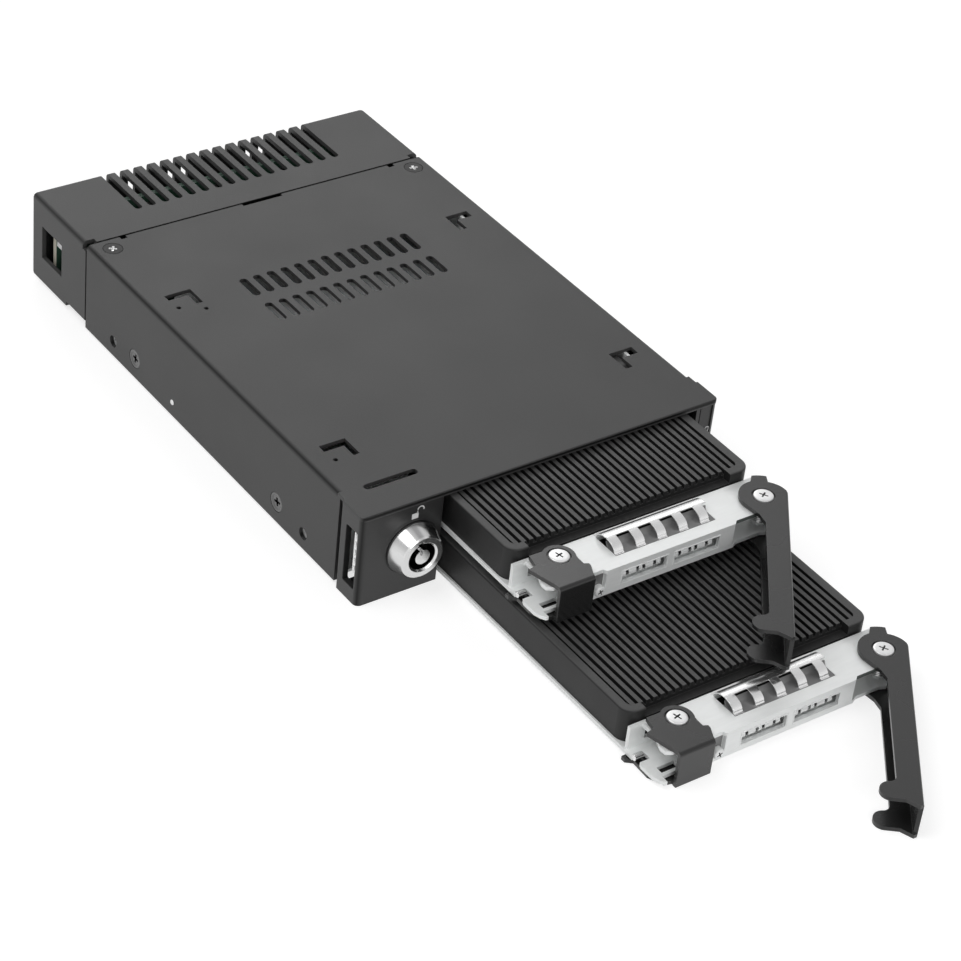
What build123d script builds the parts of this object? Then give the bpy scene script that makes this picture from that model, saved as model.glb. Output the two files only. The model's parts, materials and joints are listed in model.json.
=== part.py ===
from build123d import *
from math import cos, radians, sin, tan
import os

# Hot swap drive cage: a slim bay housing with two slide-out finned module trays.
# Lengths are in millimetres. The origin is the centre of the four bottom mounting
# holes, +Z is up, -Y points out of the front and +X is to the right of someone facing it.
os.makedirs("parts", exist_ok=True)

# Housing
body_width = 101.6
body_height = 25.4
body_length = 157.6
half = body_width / 2
cover_sheet = 1.0
base_sheet = 0.8
bend_radius = 1.3
seam_depth = 128.4
seam_gap = 0.35
rear_depth = body_length - seam_depth
cover_side_start = 10.3
cover_side_foot = 0.8
front_lip_depth = 8.5
front_lip_extra = 0.5
lip_reveal = 0.3
fit_gap = 0.1
run_gap = 0.3

# Mounting holes
hole_front = 24.1
hole_pitch = 90.0
side_hole_height = 5.0
bottom_hole_span = body_width - 6.4
thread_radius = 1.25
clear_radius = 1.6
collar_radius = 2.0
collar_height = 1.2

# Vents and cut-outs of the cover
vent_pitch = 4.0
vent_width = 2.2
vent_length = 8.2
vent_count = 13
vent_row_front = 81.5
vent_row_rear = 93.6
grip_slot_length = 14.5
grip_slot_width = 2.0
grip_slot_centre = (-half + 13.55, 10.1)
cover_screw_x = half - 5.2
cover_screw_y = seam_depth - 4.1
cover_screw_shank = 1.2
cover_screw_head = 2.6
side_screw_height = 6.3
side_screw_front = hole_front + 11.9
side_screw_rear = hole_front + hole_pitch - 10.9

# Rear housing
rear_wall = 1.2
rear_foot = 1.4
rear_step_foot = 2.7
rear_step_end = seam_depth + 0.353 * rear_depth
rear_slot_count = 16
rear_slot_width = 2.1
rear_slot_front = seam_depth + 0.332 * rear_depth
rear_slot_foot = body_height - 7.9
rear_edge = 1.4
rear_window_front = seam_depth + 0.442 * rear_depth
rear_window_rear = seam_depth + 0.801 * rear_depth
rear_window_foot = 8.65
rear_window_head = body_height - 7.3
ear_inner = half - 8.8
ear_thickness = 2.0
ear_front = seam_depth - 6.9

# Bay
bay_left = -half + 21.8
bezel_depth = 8.6
bezel_wall = 1.5
bezel_face = 2.0
post_left = half - 4.6
post_depth = 4.5
guide_sheet = 0.8
guide_left = bay_left + 0.7
guide_right = half - 7.1
guide_front = 15.5
guide_rear = seam_depth - 7.4
shelf_sheet = 0.8
shelf_foot = body_height / 2 + 0.2
shelf_rear = guide_rear - 5.0
foot_width = 3.5
foot_front = guide_front + 18.5
foot_rear = guide_rear - 17.0

# Lock
lock_x = -half + 13.9
lock_z = body_height / 2 - 0.1
lock_recess_radius = 7.17
lock_recess_depth = 0.5
lock_base_radius = 6.95
lock_face_radius = 5.73
lock_reach = 4.5
lock_barrel_radius = 4.6
lock_barrel_end = 8.0
lock_bore = 3.48
lock_core_radius = 3.2
lock_post_radius = 1.97
lock_key_depth = 3.0
key_notch_width = 1.3
key_notch_lean = 12.0
lock_nut_flats = 12.6
lock_nut_height = 2.6
cam_radius = 4.6
cam_front = 8.3
cam_thickness = 1.4
cam_pin_offset = 3.0
cam_pin_radius = 0.9
bar_front = 10.1
bar_thickness = 1.4
bar_tongue_tip = bay_left + 0.9
rivet_x = -half + 9.8
rivet_radius = 1.1
rivet_head = 2.0
rivet_heights = (5.6, body_height - 5.8)

# Rear electronics
board_thickness = 1.6
backplane_front = seam_depth - 5.4
backplane_left = bay_left - 1.0
backplane_right = half - 4.8
backplane_foot = 1.2
backplane_head = body_height - 3.5
rear_board_front = body_length - 0.3116 * rear_depth
rear_board_left = -half + 2.4
rear_board_right = half - 10.8
rear_board_foot = 4.2
rear_board_head = body_height - 3.9
link_foot = 12.0
link_half = half - 17.8
socket_front = backplane_front - 4.8
tray_socket_width = 32.0
tray_socket_height = 5.6
data_socket_width = 15.0
data_socket_height = 6.5
data_socket_centres = (-half + 22.8, -half + 42.8)
power_socket_width = 23.0
power_socket_centre = half - 28.8
rear_socket_foot = 4.4
rear_socket_reach = 0.6

# Trays
tray_pitch = body_height / 2
tray_floor = 1.3
tray_out_lower = 84.3
tray_out_upper = 38.3
tray_sheet = 1.0
tray_left = bay_left + 1.2
tray_right = guide_right - 0.7
tray_rear = guide_rear - 4.0
lid_left = tray_left + 0.5
lid_right = tray_right - 0.5
lid_front = 14.4
lid_rear = tray_rear - 1.0
lid_top = tray_pitch - 3.0
lid_corner = 3.5
lid_wall = 1.5
lid_roof = lid_top - 3.2
fin_field_left = lid_left + 2.1
fin_field_right = lid_right - 2.5
fin_field_front = lid_front + 2.3
fin_field_rear = lid_rear - 2.5
fin_floor = lid_top - 1.5
fin_top = lid_top - 0.2
fin_pitch = 2.025
fin_width = 1.1
fin_first = fin_field_left + 1.2
fin_count = int((fin_field_right - fin_first) / fin_pitch) + 1
lid_boss_inset = 3.6
lid_boss_radius = 2.2
lid_screw_radius = 0.9
lip_left = lid_left + 5.0
lip_right = lid_right - 6.5
lip_top = lid_top - 2.5

# Tray front
bracket_face = 1.5
bracket_top = tray_pitch - 5.7
bracket_rear = 14.0
bracket_left = tray_left + 18.3
bracket_right = tray_right - 15.4
spring_slot_left = bracket_left + 5.0
spring_slot_right = bracket_right - 3.1
spring_slot_front = 5.0
spring_slot_rear = 12.6
finger_pitch = 6.1
finger_width = 3.6
finger_first = spring_slot_left + 2.3
finger_count = int((spring_slot_right - finger_first) / finger_pitch) + 1
finger_rise = 2.3
finger_sheet = 0.3
ridge_front = 8.7
ridge_rear = 10.3
pivot_shank = 1.1
pivot_hole = 1.35
pivot_head = 2.45
pivot_head_height = 0.6
pivot_seat = 0.4
pivot_seat_gap = 0.4
sleeve_radius = 1.9
flange_gap = 0.25
link_sheet = 1.0

# Lever and latch
lever_pivot = (tray_right - 3.8, 5.8)
latch_pivot = (tray_left + 10.8, 10.0)
lever_open = 52.0
lever_length = lever_pivot[0] - latch_pivot[0] - 4.2
lever_reach = 5.9
lever_inner = 0.3
hub_radius = 5.9
tooth_radius = 7.9
latch_hub = 3.95
latch_face = -0.2

# The front face lies this far before the centre of the mounting holes.
front = -(hole_front + hole_pitch / 2)
roof = body_height - cover_sheet
wall_inner = half - cover_sheet
flange_outer = wall_inner - fit_gap
flange_inner = flange_outer - base_sheet
hole_rows = (hole_front, hole_front + hole_pitch)
side_screws_y = (side_screw_front, side_screw_rear)
both = (-1, 1)


def level(z):
    """Horizontal sketch plane at height z; its y runs back from the front face."""
    return Plane(origin=(0, front, z), x_dir=(1, 0, 0), z_dir=(0, 0, 1))


def across(y):
    """Upright sketch plane facing the front, y behind the front face."""
    return Plane(origin=(0, front + y, 0), x_dir=(1, 0, 0), z_dir=(0, -1, 0))


def along(x):
    """Upright sketch plane facing right; its x runs back from the front face."""
    return Plane(origin=(x, front, 0), x_dir=(0, 1, 0), z_dir=(1, 0, 0))


def span(x0, x1, y0, y1, mode=Mode.ADD):
    """Rectangle between two pairs of limits in the current sketch."""
    with Locations(((x0 + x1) / 2, (y0 + y1) / 2)):
        Rectangle(x1 - x0, y1 - y0, mode=mode)


# Top cover: a folded sheet with vents, hook cut-outs and countersunk screws.
# Each hook cut-out is a bar with an arm: bar x, bar y, arm x, arm end y.
hook_cuts = (
    (-half + 5.7, -half + 13.0, 97.3, 99.5, -half + 11.2, -half + 13.0, 93.1),
    (-half + 5.7, -half + 12.8, 26.1, 28.5, -half + 11.1, -half + 12.8, 21.9),
    (half - 11.9, half - 5.2, 96.9, 99.5, half - 11.9, half - 9.8, 92.4),
    (half - 11.9, half - 4.9, 25.4, 28.2, half - 11.9, half - 9.8, 21.1),
)
hook_marks = ((-half + 6.3, 93.4), (-half + 12.2, 90.2), (-half + 6.4, 22.3))
with BuildPart() as top_cover:
    with BuildSketch(across(cover_side_start)):
        span(-half, half, cover_side_foot, body_height)
        fillet(vertices().sort_by(Axis.Y)[-2:], bend_radius)
        span(-wall_inner, wall_inner, cover_side_foot - 1, roof, Mode.SUBTRACT)
    extrude(amount=-(seam_depth - cover_side_start))
    with BuildSketch(level(roof)):
        span(-half, half, 0, cover_side_start + 1)
        span(-half - front_lip_extra, half + front_lip_extra, 0, front_lip_depth)
        fillet(vertices().sort_by(Axis.Y)[:2], bezel_wall)
    extrude(amount=cover_sheet)
    with BuildSketch(level(roof)):
        for row in (vent_row_front, vent_row_rear):
            with Locations((0, row)):
                with GridLocations(vent_pitch, 1, vent_count, 1):
                    SlotOverall(vent_length, vent_width, rotation=90)
        for bar_x0, bar_x1, bar_y0, bar_y1, arm_x0, arm_x1, arm_end in hook_cuts:
            span(bar_x0, bar_x1, bar_y0, bar_y1)
            span(arm_x0, arm_x1, arm_end, bar_y1)
        with Locations(*hook_marks):
            Circle(0.6)
        with Locations(grip_slot_centre):
            SlotOverall(grip_slot_length, grip_slot_width)
        span(-5.4, 6.4, seam_depth - 1.0, seam_depth + 1)
        for side in both:
            with Locations((side * (half - 10.2), seam_depth)):
                Rectangle(1.8, 2.4)
    extrude(amount=cover_sheet, mode=Mode.SUBTRACT)
    with Locations(level(body_height)):
        with Locations(*[(side * cover_screw_x, cover_screw_y) for side in both]):
            CounterSinkHole(cover_screw_shank, cover_screw_head, depth=cover_sheet)
    for side in both:
        face_plane = Plane(origin=(side * half, front, 0), x_dir=(0, side, 0), z_dir=(side, 0, 0))
        with Locations(face_plane):
            with Locations(*[(side * y, side_hole_height) for y in hole_rows]):
                Hole(clear_radius, depth=cover_sheet)
            with Locations(*[(side * y, side_screw_height) for y in side_screws_y]):
                CounterSinkHole(cover_screw_shank, cover_screw_head, depth=cover_sheet)
top_cover.part.label = "top_cover"

# Base plate: floor with two upturned flanges inside the cover's sides.
floor_front = bar_front + bar_thickness + 0.7
flange_head = body_height - 5.4
with BuildPart() as base_plate:
    with BuildSketch(level(0)):
        span(-flange_outer, flange_outer, floor_front, seam_depth - run_gap)
        span(bay_left - 0.5, post_left + 1.6, floor_front - 1, guide_front, Mode.SUBTRACT)
    extrude(amount=base_sheet)
    for side in both:
        with BuildSketch(level(0)):
            flange_middle = (floor_front + seam_depth - run_gap) / 2
            with Locations((side * (flange_outer - base_sheet / 2), flange_middle)):
                Rectangle(base_sheet, seam_depth - run_gap - floor_front)
        extrude(amount=flange_head)
    with BuildSketch(level(base_sheet)):
        with Locations(*[(side * bottom_hole_span / 2, y) for side in both for y in hole_rows]):
            Circle(collar_radius)
    extrude(amount=collar_height)
    for side in both:
        with BuildSketch(along(side * flange_inner)):
            with Locations(*[(y, side_hole_height) for y in hole_rows]):
                Circle(collar_radius)
        extrude(amount=-side * collar_height)
    with BuildSketch(level(0)):
        with Locations(*[(side * bottom_hole_span / 2, y) for side in both for y in hole_rows]):
            Circle(thread_radius)
    extrude(amount=base_sheet + collar_height, mode=Mode.SUBTRACT)
    for side in both:
        with BuildSketch(along(side * (flange_inner - collar_height))):
            with Locations(*[(y, side_hole_height) for y in hole_rows]):
                Circle(thread_radius)
            with Locations(*[(y, side_screw_height) for y in side_screws_y]):
                Circle(cover_screw_shank)
        extrude(amount=side * (collar_height + base_sheet + fit_gap), mode=Mode.SUBTRACT)
base_plate.part.label = "base_plate"

# Rear housing: moulded end box whose top slots wrap over the edge and down the back.
slot_end = body_length + 1
with BuildPart() as rear_housing:
    with BuildSketch(across(seam_depth + seam_gap)):
        span(-half, half, rear_foot, body_height)
        fillet(vertices().sort_by(Axis.Y)[-2:], bend_radius)
    extrude(amount=-(rear_depth - seam_gap))
    chamfer(edges().filter_by(Axis.X).group_by(Axis.Y)[-1].sort_by(Axis.Z)[0], rear_edge)
    fillet(edges().filter_by(Axis.X).group_by(Axis.Y)[-1].sort_by(Axis.Z)[-1], rear_edge)
    with BuildSketch(across(seam_depth)):
        span(-half + rear_wall, half - rear_wall, rear_foot + rear_wall, body_height - rear_wall)
    extrude(amount=-(body_length - rear_wall - seam_depth), mode=Mode.SUBTRACT)
    with BuildSketch(along(-half)):
        span(seam_depth, rear_step_end, rear_foot, rear_step_foot)
    extrude(amount=body_width, mode=Mode.SUBTRACT)
    with BuildSketch(level(rear_step_foot)):
        span(-half + rear_wall, half - rear_wall, seam_depth + seam_gap, rear_step_end + rear_wall)
    extrude(amount=rear_wall)
    for side in both:
        with BuildSketch(level(roof - ear_thickness)):
            with Locations((side * (ear_inner + half - rear_wall) / 2, (ear_front + seam_depth + 2) / 2)):
                Rectangle(half - rear_wall - ear_inner, seam_depth + 2 - ear_front)
        extrude(amount=ear_thickness)
        with BuildSketch(level(roof - ear_thickness)):
            with Locations((side * cover_screw_x, cover_screw_y)):
                Circle(cover_screw_shank)
        extrude(amount=ear_thickness, mode=Mode.SUBTRACT)
        with BuildSketch(level(body_height - 2.0)):
            with Locations((side * (half - 1.0), seam_depth + 1.0)):
                Rectangle(4.4, 2.2)
        extrude(amount=2.0, mode=Mode.SUBTRACT)
    with BuildSketch(level(rear_slot_foot)):
        with GridLocations(vent_pitch, 1, rear_slot_count, 1):
            with Locations((0, (rear_slot_front + rear_slot_width / 2 + slot_end) / 2)):
                Rectangle(rear_slot_width, slot_end - rear_slot_front - rear_slot_width / 2)
            with Locations((0, rear_slot_front + rear_slot_width / 2)):
                Circle(rear_slot_width / 2)
    extrude(amount=body_height - rear_slot_foot, mode=Mode.SUBTRACT)
    with BuildSketch(along(-half)):
        span(rear_window_front, rear_window_rear, rear_window_foot, rear_window_head)
    extrude(amount=body_width, mode=Mode.SUBTRACT)
    with BuildSketch(across(body_length - rear_wall)):
        for centre in data_socket_centres:
            span(centre - data_socket_width / 2 - run_gap, centre + data_socket_width / 2 + run_gap,
                 rear_socket_foot - run_gap, rear_socket_foot + data_socket_height + run_gap)
        span(power_socket_centre - power_socket_width / 2 - run_gap,
             power_socket_centre + power_socket_width / 2 + run_gap,
             rear_socket_foot - run_gap, rear_socket_foot + data_socket_height + run_gap)
    extrude(amount=-rear_wall, mode=Mode.SUBTRACT)
rear_housing.part.label = "rear_housing"

# Left bezel block: a moulded box around the lock with the side window.
bezel_outer = half + front_lip_extra - lip_reveal / 2
with BuildPart() as bezel_left:
    with BuildSketch(level(0)):
        span(-bezel_outer, bay_left, lip_reveal, bezel_depth)
        fillet(vertices().group_by(Axis.X)[0].sort_by(Axis.Y)[0], bezel_wall)
    extrude(amount=roof)
    with BuildSketch(across(bezel_face)):
        span(-bezel_outer + bezel_wall, bay_left - bezel_wall, bezel_wall, roof - bezel_wall)
    extrude(amount=-bezel_depth, mode=Mode.SUBTRACT)
    with BuildSketch(across(0)):
        with Locations((lock_x, lock_z)):
            Circle(lock_barrel_radius)
    extrude(amount=-bezel_face, mode=Mode.SUBTRACT)
    with BuildSketch(across(0)):
        with Locations((lock_x, lock_z)):
            Circle(lock_recess_radius)
    extrude(amount=-lock_recess_depth, mode=Mode.SUBTRACT)
    with BuildSketch(along(-bezel_outer)):
        span(1.9, 6.5, 4.15, roof - 4.3)
        fillet(vertices(), 0.5)
    extrude(amount=bezel_wall, mode=Mode.SUBTRACT)
bezel_left.part.label = "bezel_left"

# Right bezel post with the catch that the lever tooth pulls against.
with BuildPart() as bezel_right:
    with BuildSketch(level(0)):
        span(post_left, bezel_outer, lip_reveal, post_depth)
        span(bezel_outer - bezel_wall, bezel_outer, 0, bezel_depth)
        fillet(vertices().group_by(Axis.X)[-1].sort_by(Axis.Y)[0], bezel_wall)
    extrude(amount=roof)
bezel_right.part.label = "bezel_right"

# Guide walls of the bay, each with a foot flange on the floor.
with BuildPart() as left_guide:
    with BuildSketch(level(base_sheet)):
        span(guide_left - guide_sheet, guide_left, guide_front, guide_rear)
        span(bezel_wall - wall_inner + 1.3, guide_left, guide_front, guide_front + guide_sheet)
    extrude(amount=roof - base_sheet)
    with BuildSketch(level(base_sheet)):
        span(guide_left - guide_sheet - foot_width, guide_left, foot_front, foot_rear)
    extrude(amount=guide_sheet)
    with BuildSketch(across(guide_front)):
        with Locations(*[(rivet_x, z) for z in rivet_heights]):
            Circle(rivet_radius)
    extrude(amount=-guide_sheet, mode=Mode.SUBTRACT)
left_guide.part.label = "left_guide"

with BuildPart() as right_guide:
    with BuildSketch(level(base_sheet)):
        span(guide_right, guide_right + guide_sheet, guide_front, guide_rear)
    extrude(amount=roof - base_sheet)
    with BuildSketch(level(base_sheet)):
        span(guide_right, guide_right + guide_sheet + foot_width, foot_front, foot_rear)
    extrude(amount=guide_sheet)
right_guide.part.label = "right_guide"

with BuildPart() as bay_shelf:
    with BuildSketch(level(shelf_foot)):
        span(guide_left, guide_right, guide_front, shelf_rear)
    extrude(amount=shelf_sheet)
bay_shelf.part.label = "bay_shelf"

# Tray sockets on the backplane, one for each bay.
tray_levels = (tray_floor, tray_floor + tray_pitch)
plug_height = 4.4
plug_thickness = 1.2
plug_half = 13.0
plug_tip = socket_front + 2.8
bay_middle = (tray_left + tray_right) / 2
with BuildPart() as backplane_board:
    with BuildSketch(across(backplane_front)):
        span(backplane_left, backplane_right, backplane_foot, backplane_head)
        span(ear_inner - run_gap, backplane_right, roof - ear_thickness - run_gap, roof, Mode.SUBTRACT)
    extrude(amount=-board_thickness)
backplane_board.part.label = "backplane_board"

with BuildPart() as tray_sockets:
    with BuildSketch(across(socket_front)):
        for tray_level in tray_levels:
            with Locations((bay_middle, tray_level + plug_height)):
                Rectangle(tray_socket_width, tray_socket_height)
    extrude(amount=-(backplane_front - socket_front))
    with BuildSketch(across(socket_front)):
        for tray_level in tray_levels:
            with Locations((bay_middle, tray_level + plug_height)):
                Rectangle(2 * plug_half + 2 * run_gap, plug_thickness + 2 * run_gap)
    extrude(amount=-(plug_tip - socket_front + run_gap), mode=Mode.SUBTRACT)
tray_sockets.part.label = "tray_sockets"

# Rear electronics: an upright board behind the vents, joined to the backplane.
backplane_rear = backplane_front + board_thickness
rear_board_rear = rear_board_front + board_thickness
rear_socket_length = body_length + rear_socket_reach - rear_board_rear
rear_socket_cavity = 0.62 * rear_socket_length
with BuildPart() as rear_board:
    with BuildSketch(across(rear_board_front)):
        span(rear_board_left, rear_board_right, rear_board_foot, rear_board_head)
    extrude(amount=-board_thickness)
rear_board.part.label = "rear_board"

with BuildPart() as board_link:
    with BuildSketch(level(link_foot)):
        span(-link_half, link_half, backplane_rear, rear_board_front)
    extrude(amount=board_thickness)
board_link.part.label = "board_link"

with BuildPart() as data_sockets:
    for centre in data_socket_centres:
        with BuildSketch(across(rear_board_rear)):
            with Locations((centre, rear_socket_foot + data_socket_height / 2)):
                Rectangle(data_socket_width, data_socket_height)
        extrude(amount=-rear_socket_length)
        with BuildSketch(across(body_length + rear_socket_reach)):
            with Locations((centre, rear_socket_foot + data_socket_height / 2)):
                Rectangle(data_socket_width - 2.0, data_socket_height - 2.4)
                Rectangle(data_socket_width - 4.0, 1.2, mode=Mode.SUBTRACT)
        extrude(amount=rear_socket_cavity, mode=Mode.SUBTRACT)
data_sockets.part.label = "data_sockets"

with BuildPart() as power_socket:
    with BuildSketch(across(rear_board_rear)):
        with Locations((power_socket_centre, rear_socket_foot + data_socket_height / 2)):
            Rectangle(power_socket_width, data_socket_height)
    extrude(amount=-rear_socket_length)
    with BuildSketch(across(body_length + rear_socket_reach)):
        with Locations((power_socket_centre, rear_socket_foot + data_socket_height / 2)):
            Rectangle(power_socket_width - 2.0, data_socket_height - 2.2)
            with Locations((0.6, -0.4)):
                Rectangle(power_socket_width - 5.0, 1.4, mode=Mode.SUBTRACT)
    extrude(amount=rear_socket_cavity, mode=Mode.SUBTRACT)
power_socket.part.label = "power_socket"

# Indicator board and its light guide at the right of the bay.
light_left = post_left - 1.3
light_right = post_left - 0.2
light_arm_end = 17.0
arm_levels = ((shelf_foot - 2.7, shelf_foot - 0.8), (roof - 1.5, roof - 0.2))
indicator_left = guide_right + guide_sheet + 1.9
with BuildPart() as indicator_board:
    with BuildSketch(along(indicator_left)):
        span(light_arm_end + run_gap, 70.0, base_sheet + collar_height + run_gap, roof - 3.4)
        span(40.0, 62.0, base_sheet + guide_sheet, base_sheet + collar_height + run_gap)
    extrude(amount=1.0)
    with BuildSketch(across(light_arm_end + run_gap)):
        span(light_left, indicator_left, arm_levels[0][0], arm_levels[0][1])
        span(light_left, indicator_left, roof - 5.4, roof - 3.5)
    extrude(amount=-1.6)
indicator_board.part.label = "indicator_board"

with BuildPart() as light_guide:
    with BuildSketch(across(lip_reveal)):
        span(light_left, light_right, 0.6, roof)
    extrude(amount=-1.4)
    with BuildSketch(across(lip_reveal)):
        for arm_foot, arm_head in arm_levels:
            span(light_left, light_right - 0.1, arm_foot, arm_head)
    extrude(amount=lip_reveal - light_arm_end)
light_guide.part.label = "light_guide"

# Grounding spring bowed out through the side window of the left bezel.
bow_edge = -bezel_outer + bezel_wall
with BuildPart() as grounding_spring:
    with BuildSketch(across(3.7)):
        with BuildLine() as bow:
            ThreePointArc((bow_edge + 0.4, 3.4), (bow_edge - 0.7, roof / 2), (bow_edge + 0.4, roof - 3.4))
        trace(bow.line, line_width=0.4)
    extrude(amount=-1.6)
grounding_spring.part.label = "grounding_spring"

# Cam lock: a chromed body held by a nut, a turning core, a cam pin and a sliding bar.
lock_axis = Plane(origin=(lock_x, front, lock_z), x_dir=(1, 0, 0), z_dir=(0, 0, 1))
with BuildPart() as lock_body:
    with BuildSketch(lock_axis):
        with BuildLine():
            Polyline(
                (lock_bore, -lock_reach + 0.5),
                (lock_bore + 0.5, -lock_reach),
                (lock_face_radius - 0.4, -lock_reach),
                (lock_face_radius, -lock_reach + 0.4),
                (lock_base_radius, -0.4),
                (lock_base_radius, lock_recess_depth),
                (lock_barrel_radius, lock_recess_depth),
                (lock_barrel_radius, lock_barrel_end),
                (lock_bore, lock_barrel_end),
                (lock_bore, -lock_reach + 0.5),
            )
        make_face()
    revolve(axis=Axis((lock_x, front, lock_z), (0, 1, 0)))
    with BuildSketch(across(-lock_reach)):
        with Locations((lock_x, lock_z)):
            with Locations(Location((0, 0), key_notch_lean)):
                with Locations((0, lock_bore + 0.2)):
                    Rectangle(key_notch_width, 1.6)
    extrude(amount=-1.6, mode=Mode.SUBTRACT)
lock_body.part.label = "lock_body"

with BuildPart() as lock_nut:
    with BuildSketch(across(bezel_face)):
        with Locations((lock_x, lock_z)):
            RegularPolygon(lock_nut_flats / 2, 6, major_radius=False, rotation=30)
            Circle(lock_barrel_radius, mode=Mode.SUBTRACT)
    extrude(amount=-lock_nut_height)
lock_nut.part.label = "lock_nut"

with BuildPart() as lock_plug:
    with BuildSketch(across(-lock_reach + lock_key_depth)):
        with Locations((lock_x, lock_z)):
            Circle(lock_core_radius)
    extrude(amount=-(cam_front + lock_reach - lock_key_depth))
    with BuildSketch(across(-lock_reach + 0.2)):
        with Locations((lock_x, lock_z)):
            Circle(lock_post_radius)
    extrude(amount=-(cam_front + cam_thickness + lock_reach - 0.2))
    with BuildSketch(across(-lock_reach + 0.2)):
        with Locations((lock_x, lock_z)):
            with Locations(Location((0, 0), key_notch_lean)):
                with Locations((0, lock_post_radius - 0.4)):
                    SlotOverall(2.0, 0.8, rotation=90)
    extrude(amount=-1.2, mode=Mode.SUBTRACT)
lock_plug.part.label = "lock_plug"

# The pin stands at minus 45 degrees from the top when the lock is open.
pin_swing = cam_pin_offset * sin(radians(45))
with BuildPart() as lock_cam:
    with BuildSketch(across(cam_front)):
        with Locations((lock_x, lock_z)):
            Circle(cam_radius)
            Circle(lock_post_radius, mode=Mode.SUBTRACT)
    extrude(amount=-cam_thickness)
    with BuildSketch(across(cam_front + cam_thickness)):
        with Locations((lock_x - pin_swing, lock_z + pin_swing)):
            Circle(cam_pin_radius)
    extrude(amount=-(bar_front + bar_thickness - cam_front - cam_thickness))
lock_cam.part.label = "lock_cam"

bar_travel = 2 * pin_swing
bar_right = lock_x - pin_swing + cam_pin_radius + run_gap + 1.6
bar_left = rivet_x - bar_travel - rivet_radius - run_gap - 1.2
slot_margin = cam_pin_radius + run_gap
with BuildPart() as lock_bar:
    with BuildSketch(across(bar_front)):
        span(bar_left, bar_right, 3.2, roof - 2.0)
        span(bar_right - 3.0, bar_right, 0.3, 3.2)
        span(bar_right - 3.0, bar_tongue_tip - bar_travel, 0.3, 2.9)
        span(bar_right - 1.0, bar_tongue_tip - bar_travel, shelf_foot, shelf_foot + 2.8)
        fillet(vertices().group_by(Axis.X)[0], 1.0)
        with Locations((lock_x - pin_swing, lock_z + (pin_swing + cam_pin_offset) / 2)):
            SlotOverall(cam_pin_offset - pin_swing + 2 * slot_margin + run_gap, 2 * slot_margin,
                        rotation=90, mode=Mode.SUBTRACT)
        for rivet_z in rivet_heights:
            with Locations((rivet_x - bar_travel / 2, rivet_z)):
                SlotOverall(bar_travel + 2 * (rivet_radius + run_gap), 2 * (rivet_radius + run_gap),
                            mode=Mode.SUBTRACT)
    extrude(amount=-bar_thickness)
lock_bar.part.label = "lock_bar"

with BuildPart() as bar_rivets:
    for rivet_z in rivet_heights:
        with BuildSketch(across(bar_front - run_gap - 0.7)):
            with Locations((rivet_x, rivet_z)):
                Circle(rivet_head)
        extrude(amount=-0.7)
        with BuildSketch(across(bar_front - run_gap)):
            with Locations((rivet_x, rivet_z)):
                Circle(rivet_radius)
        extrude(amount=-(guide_front + guide_sheet - bar_front + run_gap))
        with BuildSketch(across(bar_front + bar_thickness + run_gap)):
            with Locations((rivet_x, rivet_z)):
                Circle(rivet_head)
        extrude(amount=-(guide_front - bar_front - bar_thickness - run_gap))
bar_rivets.part.label = "bar_rivets"

# Countersunk screws of the cover and the sides, with 82 degree heads.
screw_cone_foot = cover_screw_head - fit_gap - cover_sheet * tan(radians(41))
with BuildPart() as cover_screws:
    for side in both:
        with BuildSketch(level(body_height)):
            with Locations((side * cover_screw_x, cover_screw_y)):
                Circle(cover_screw_shank)
        extrude(amount=-(cover_sheet + ear_thickness))
        with Locations(level(body_height - cover_sheet / 2)):
            with Locations((side * cover_screw_x, cover_screw_y)):
                Cone(screw_cone_foot, cover_screw_head - fit_gap, cover_sheet)
cover_screws.part.label = "cover_screws"

with BuildPart() as side_screws:
    for side in both:
        for screw_y in side_screws_y:
            with BuildSketch(along(side * half)):
                with Locations((screw_y, side_screw_height)):
                    Circle(cover_screw_shank)
            extrude(amount=-side * (cover_sheet + fit_gap + base_sheet + 0.6))
            cone_centre = (side * (half - cover_sheet / 2), front + screw_y, side_screw_height)
            with Locations(Plane(origin=cone_centre, z_dir=(side, 0, 0))):
                Cone(screw_cone_foot, cover_screw_head - fit_gap, cover_sheet)
side_screws.part.label = "side_screws"

housing = (
    top_cover, base_plate, rear_housing, bezel_left, bezel_right, left_guide, right_guide,
    bay_shelf, backplane_board, tray_sockets, rear_board, board_link, data_sockets, power_socket,
    indicator_board, light_guide, grounding_spring, lock_body, lock_nut, lock_plug, lock_cam,
    lock_bar, bar_rivets, cover_screws, side_screws,
)
for piece in housing:
    export_step(piece.part, f"parts/{piece.part.label}.step")

# Outline of the lever flange: u runs from the pivot to the tip, v towards the web.
tooth_start = radians(-6)
tooth_end = radians(20)
hub_start = radians(30)
tooth_mid = (tooth_start + tooth_end) / 2
lever_hub_right = (-hub_radius * cos(hub_start), -hub_radius * sin(hub_start))
lever_hub_left = (hub_radius * cos(radians(54)), -hub_radius * sin(radians(54)))
latch_outline = (
    (-6.1, 3.2), (-6.8, -0.4), (-9.0, -0.8), (-7.0, -8.0), (-6.8, latch_face - latch_pivot[1]),
    (2.7, latch_face - latch_pivot[1]), (3.1, -8.8), (4.3, -6.3), (4.4, -5.4), (3.3, -4.9),
    (3.3, -2.8), (3.9, 0.5), (2.5, 3.0),
)
latch_foot_outline = (
    (-6.1, 3.2), (-6.4, 3.0), (-11.7, 3.0), (-11.7, 1.8), (-10.2, 0.6), (-10.4, -4.6), (-8.6, -8.4),
    (-6.8, -8.8), (-6.8, latch_face - latch_pivot[1]),
    (2.7, latch_face - latch_pivot[1]), (3.1, -8.8), (4.3, -6.3), (4.4, -5.4), (3.3, -4.9),
    (3.3, -2.8), (3.9, 0.5), (2.5, 3.0),
)

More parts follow.
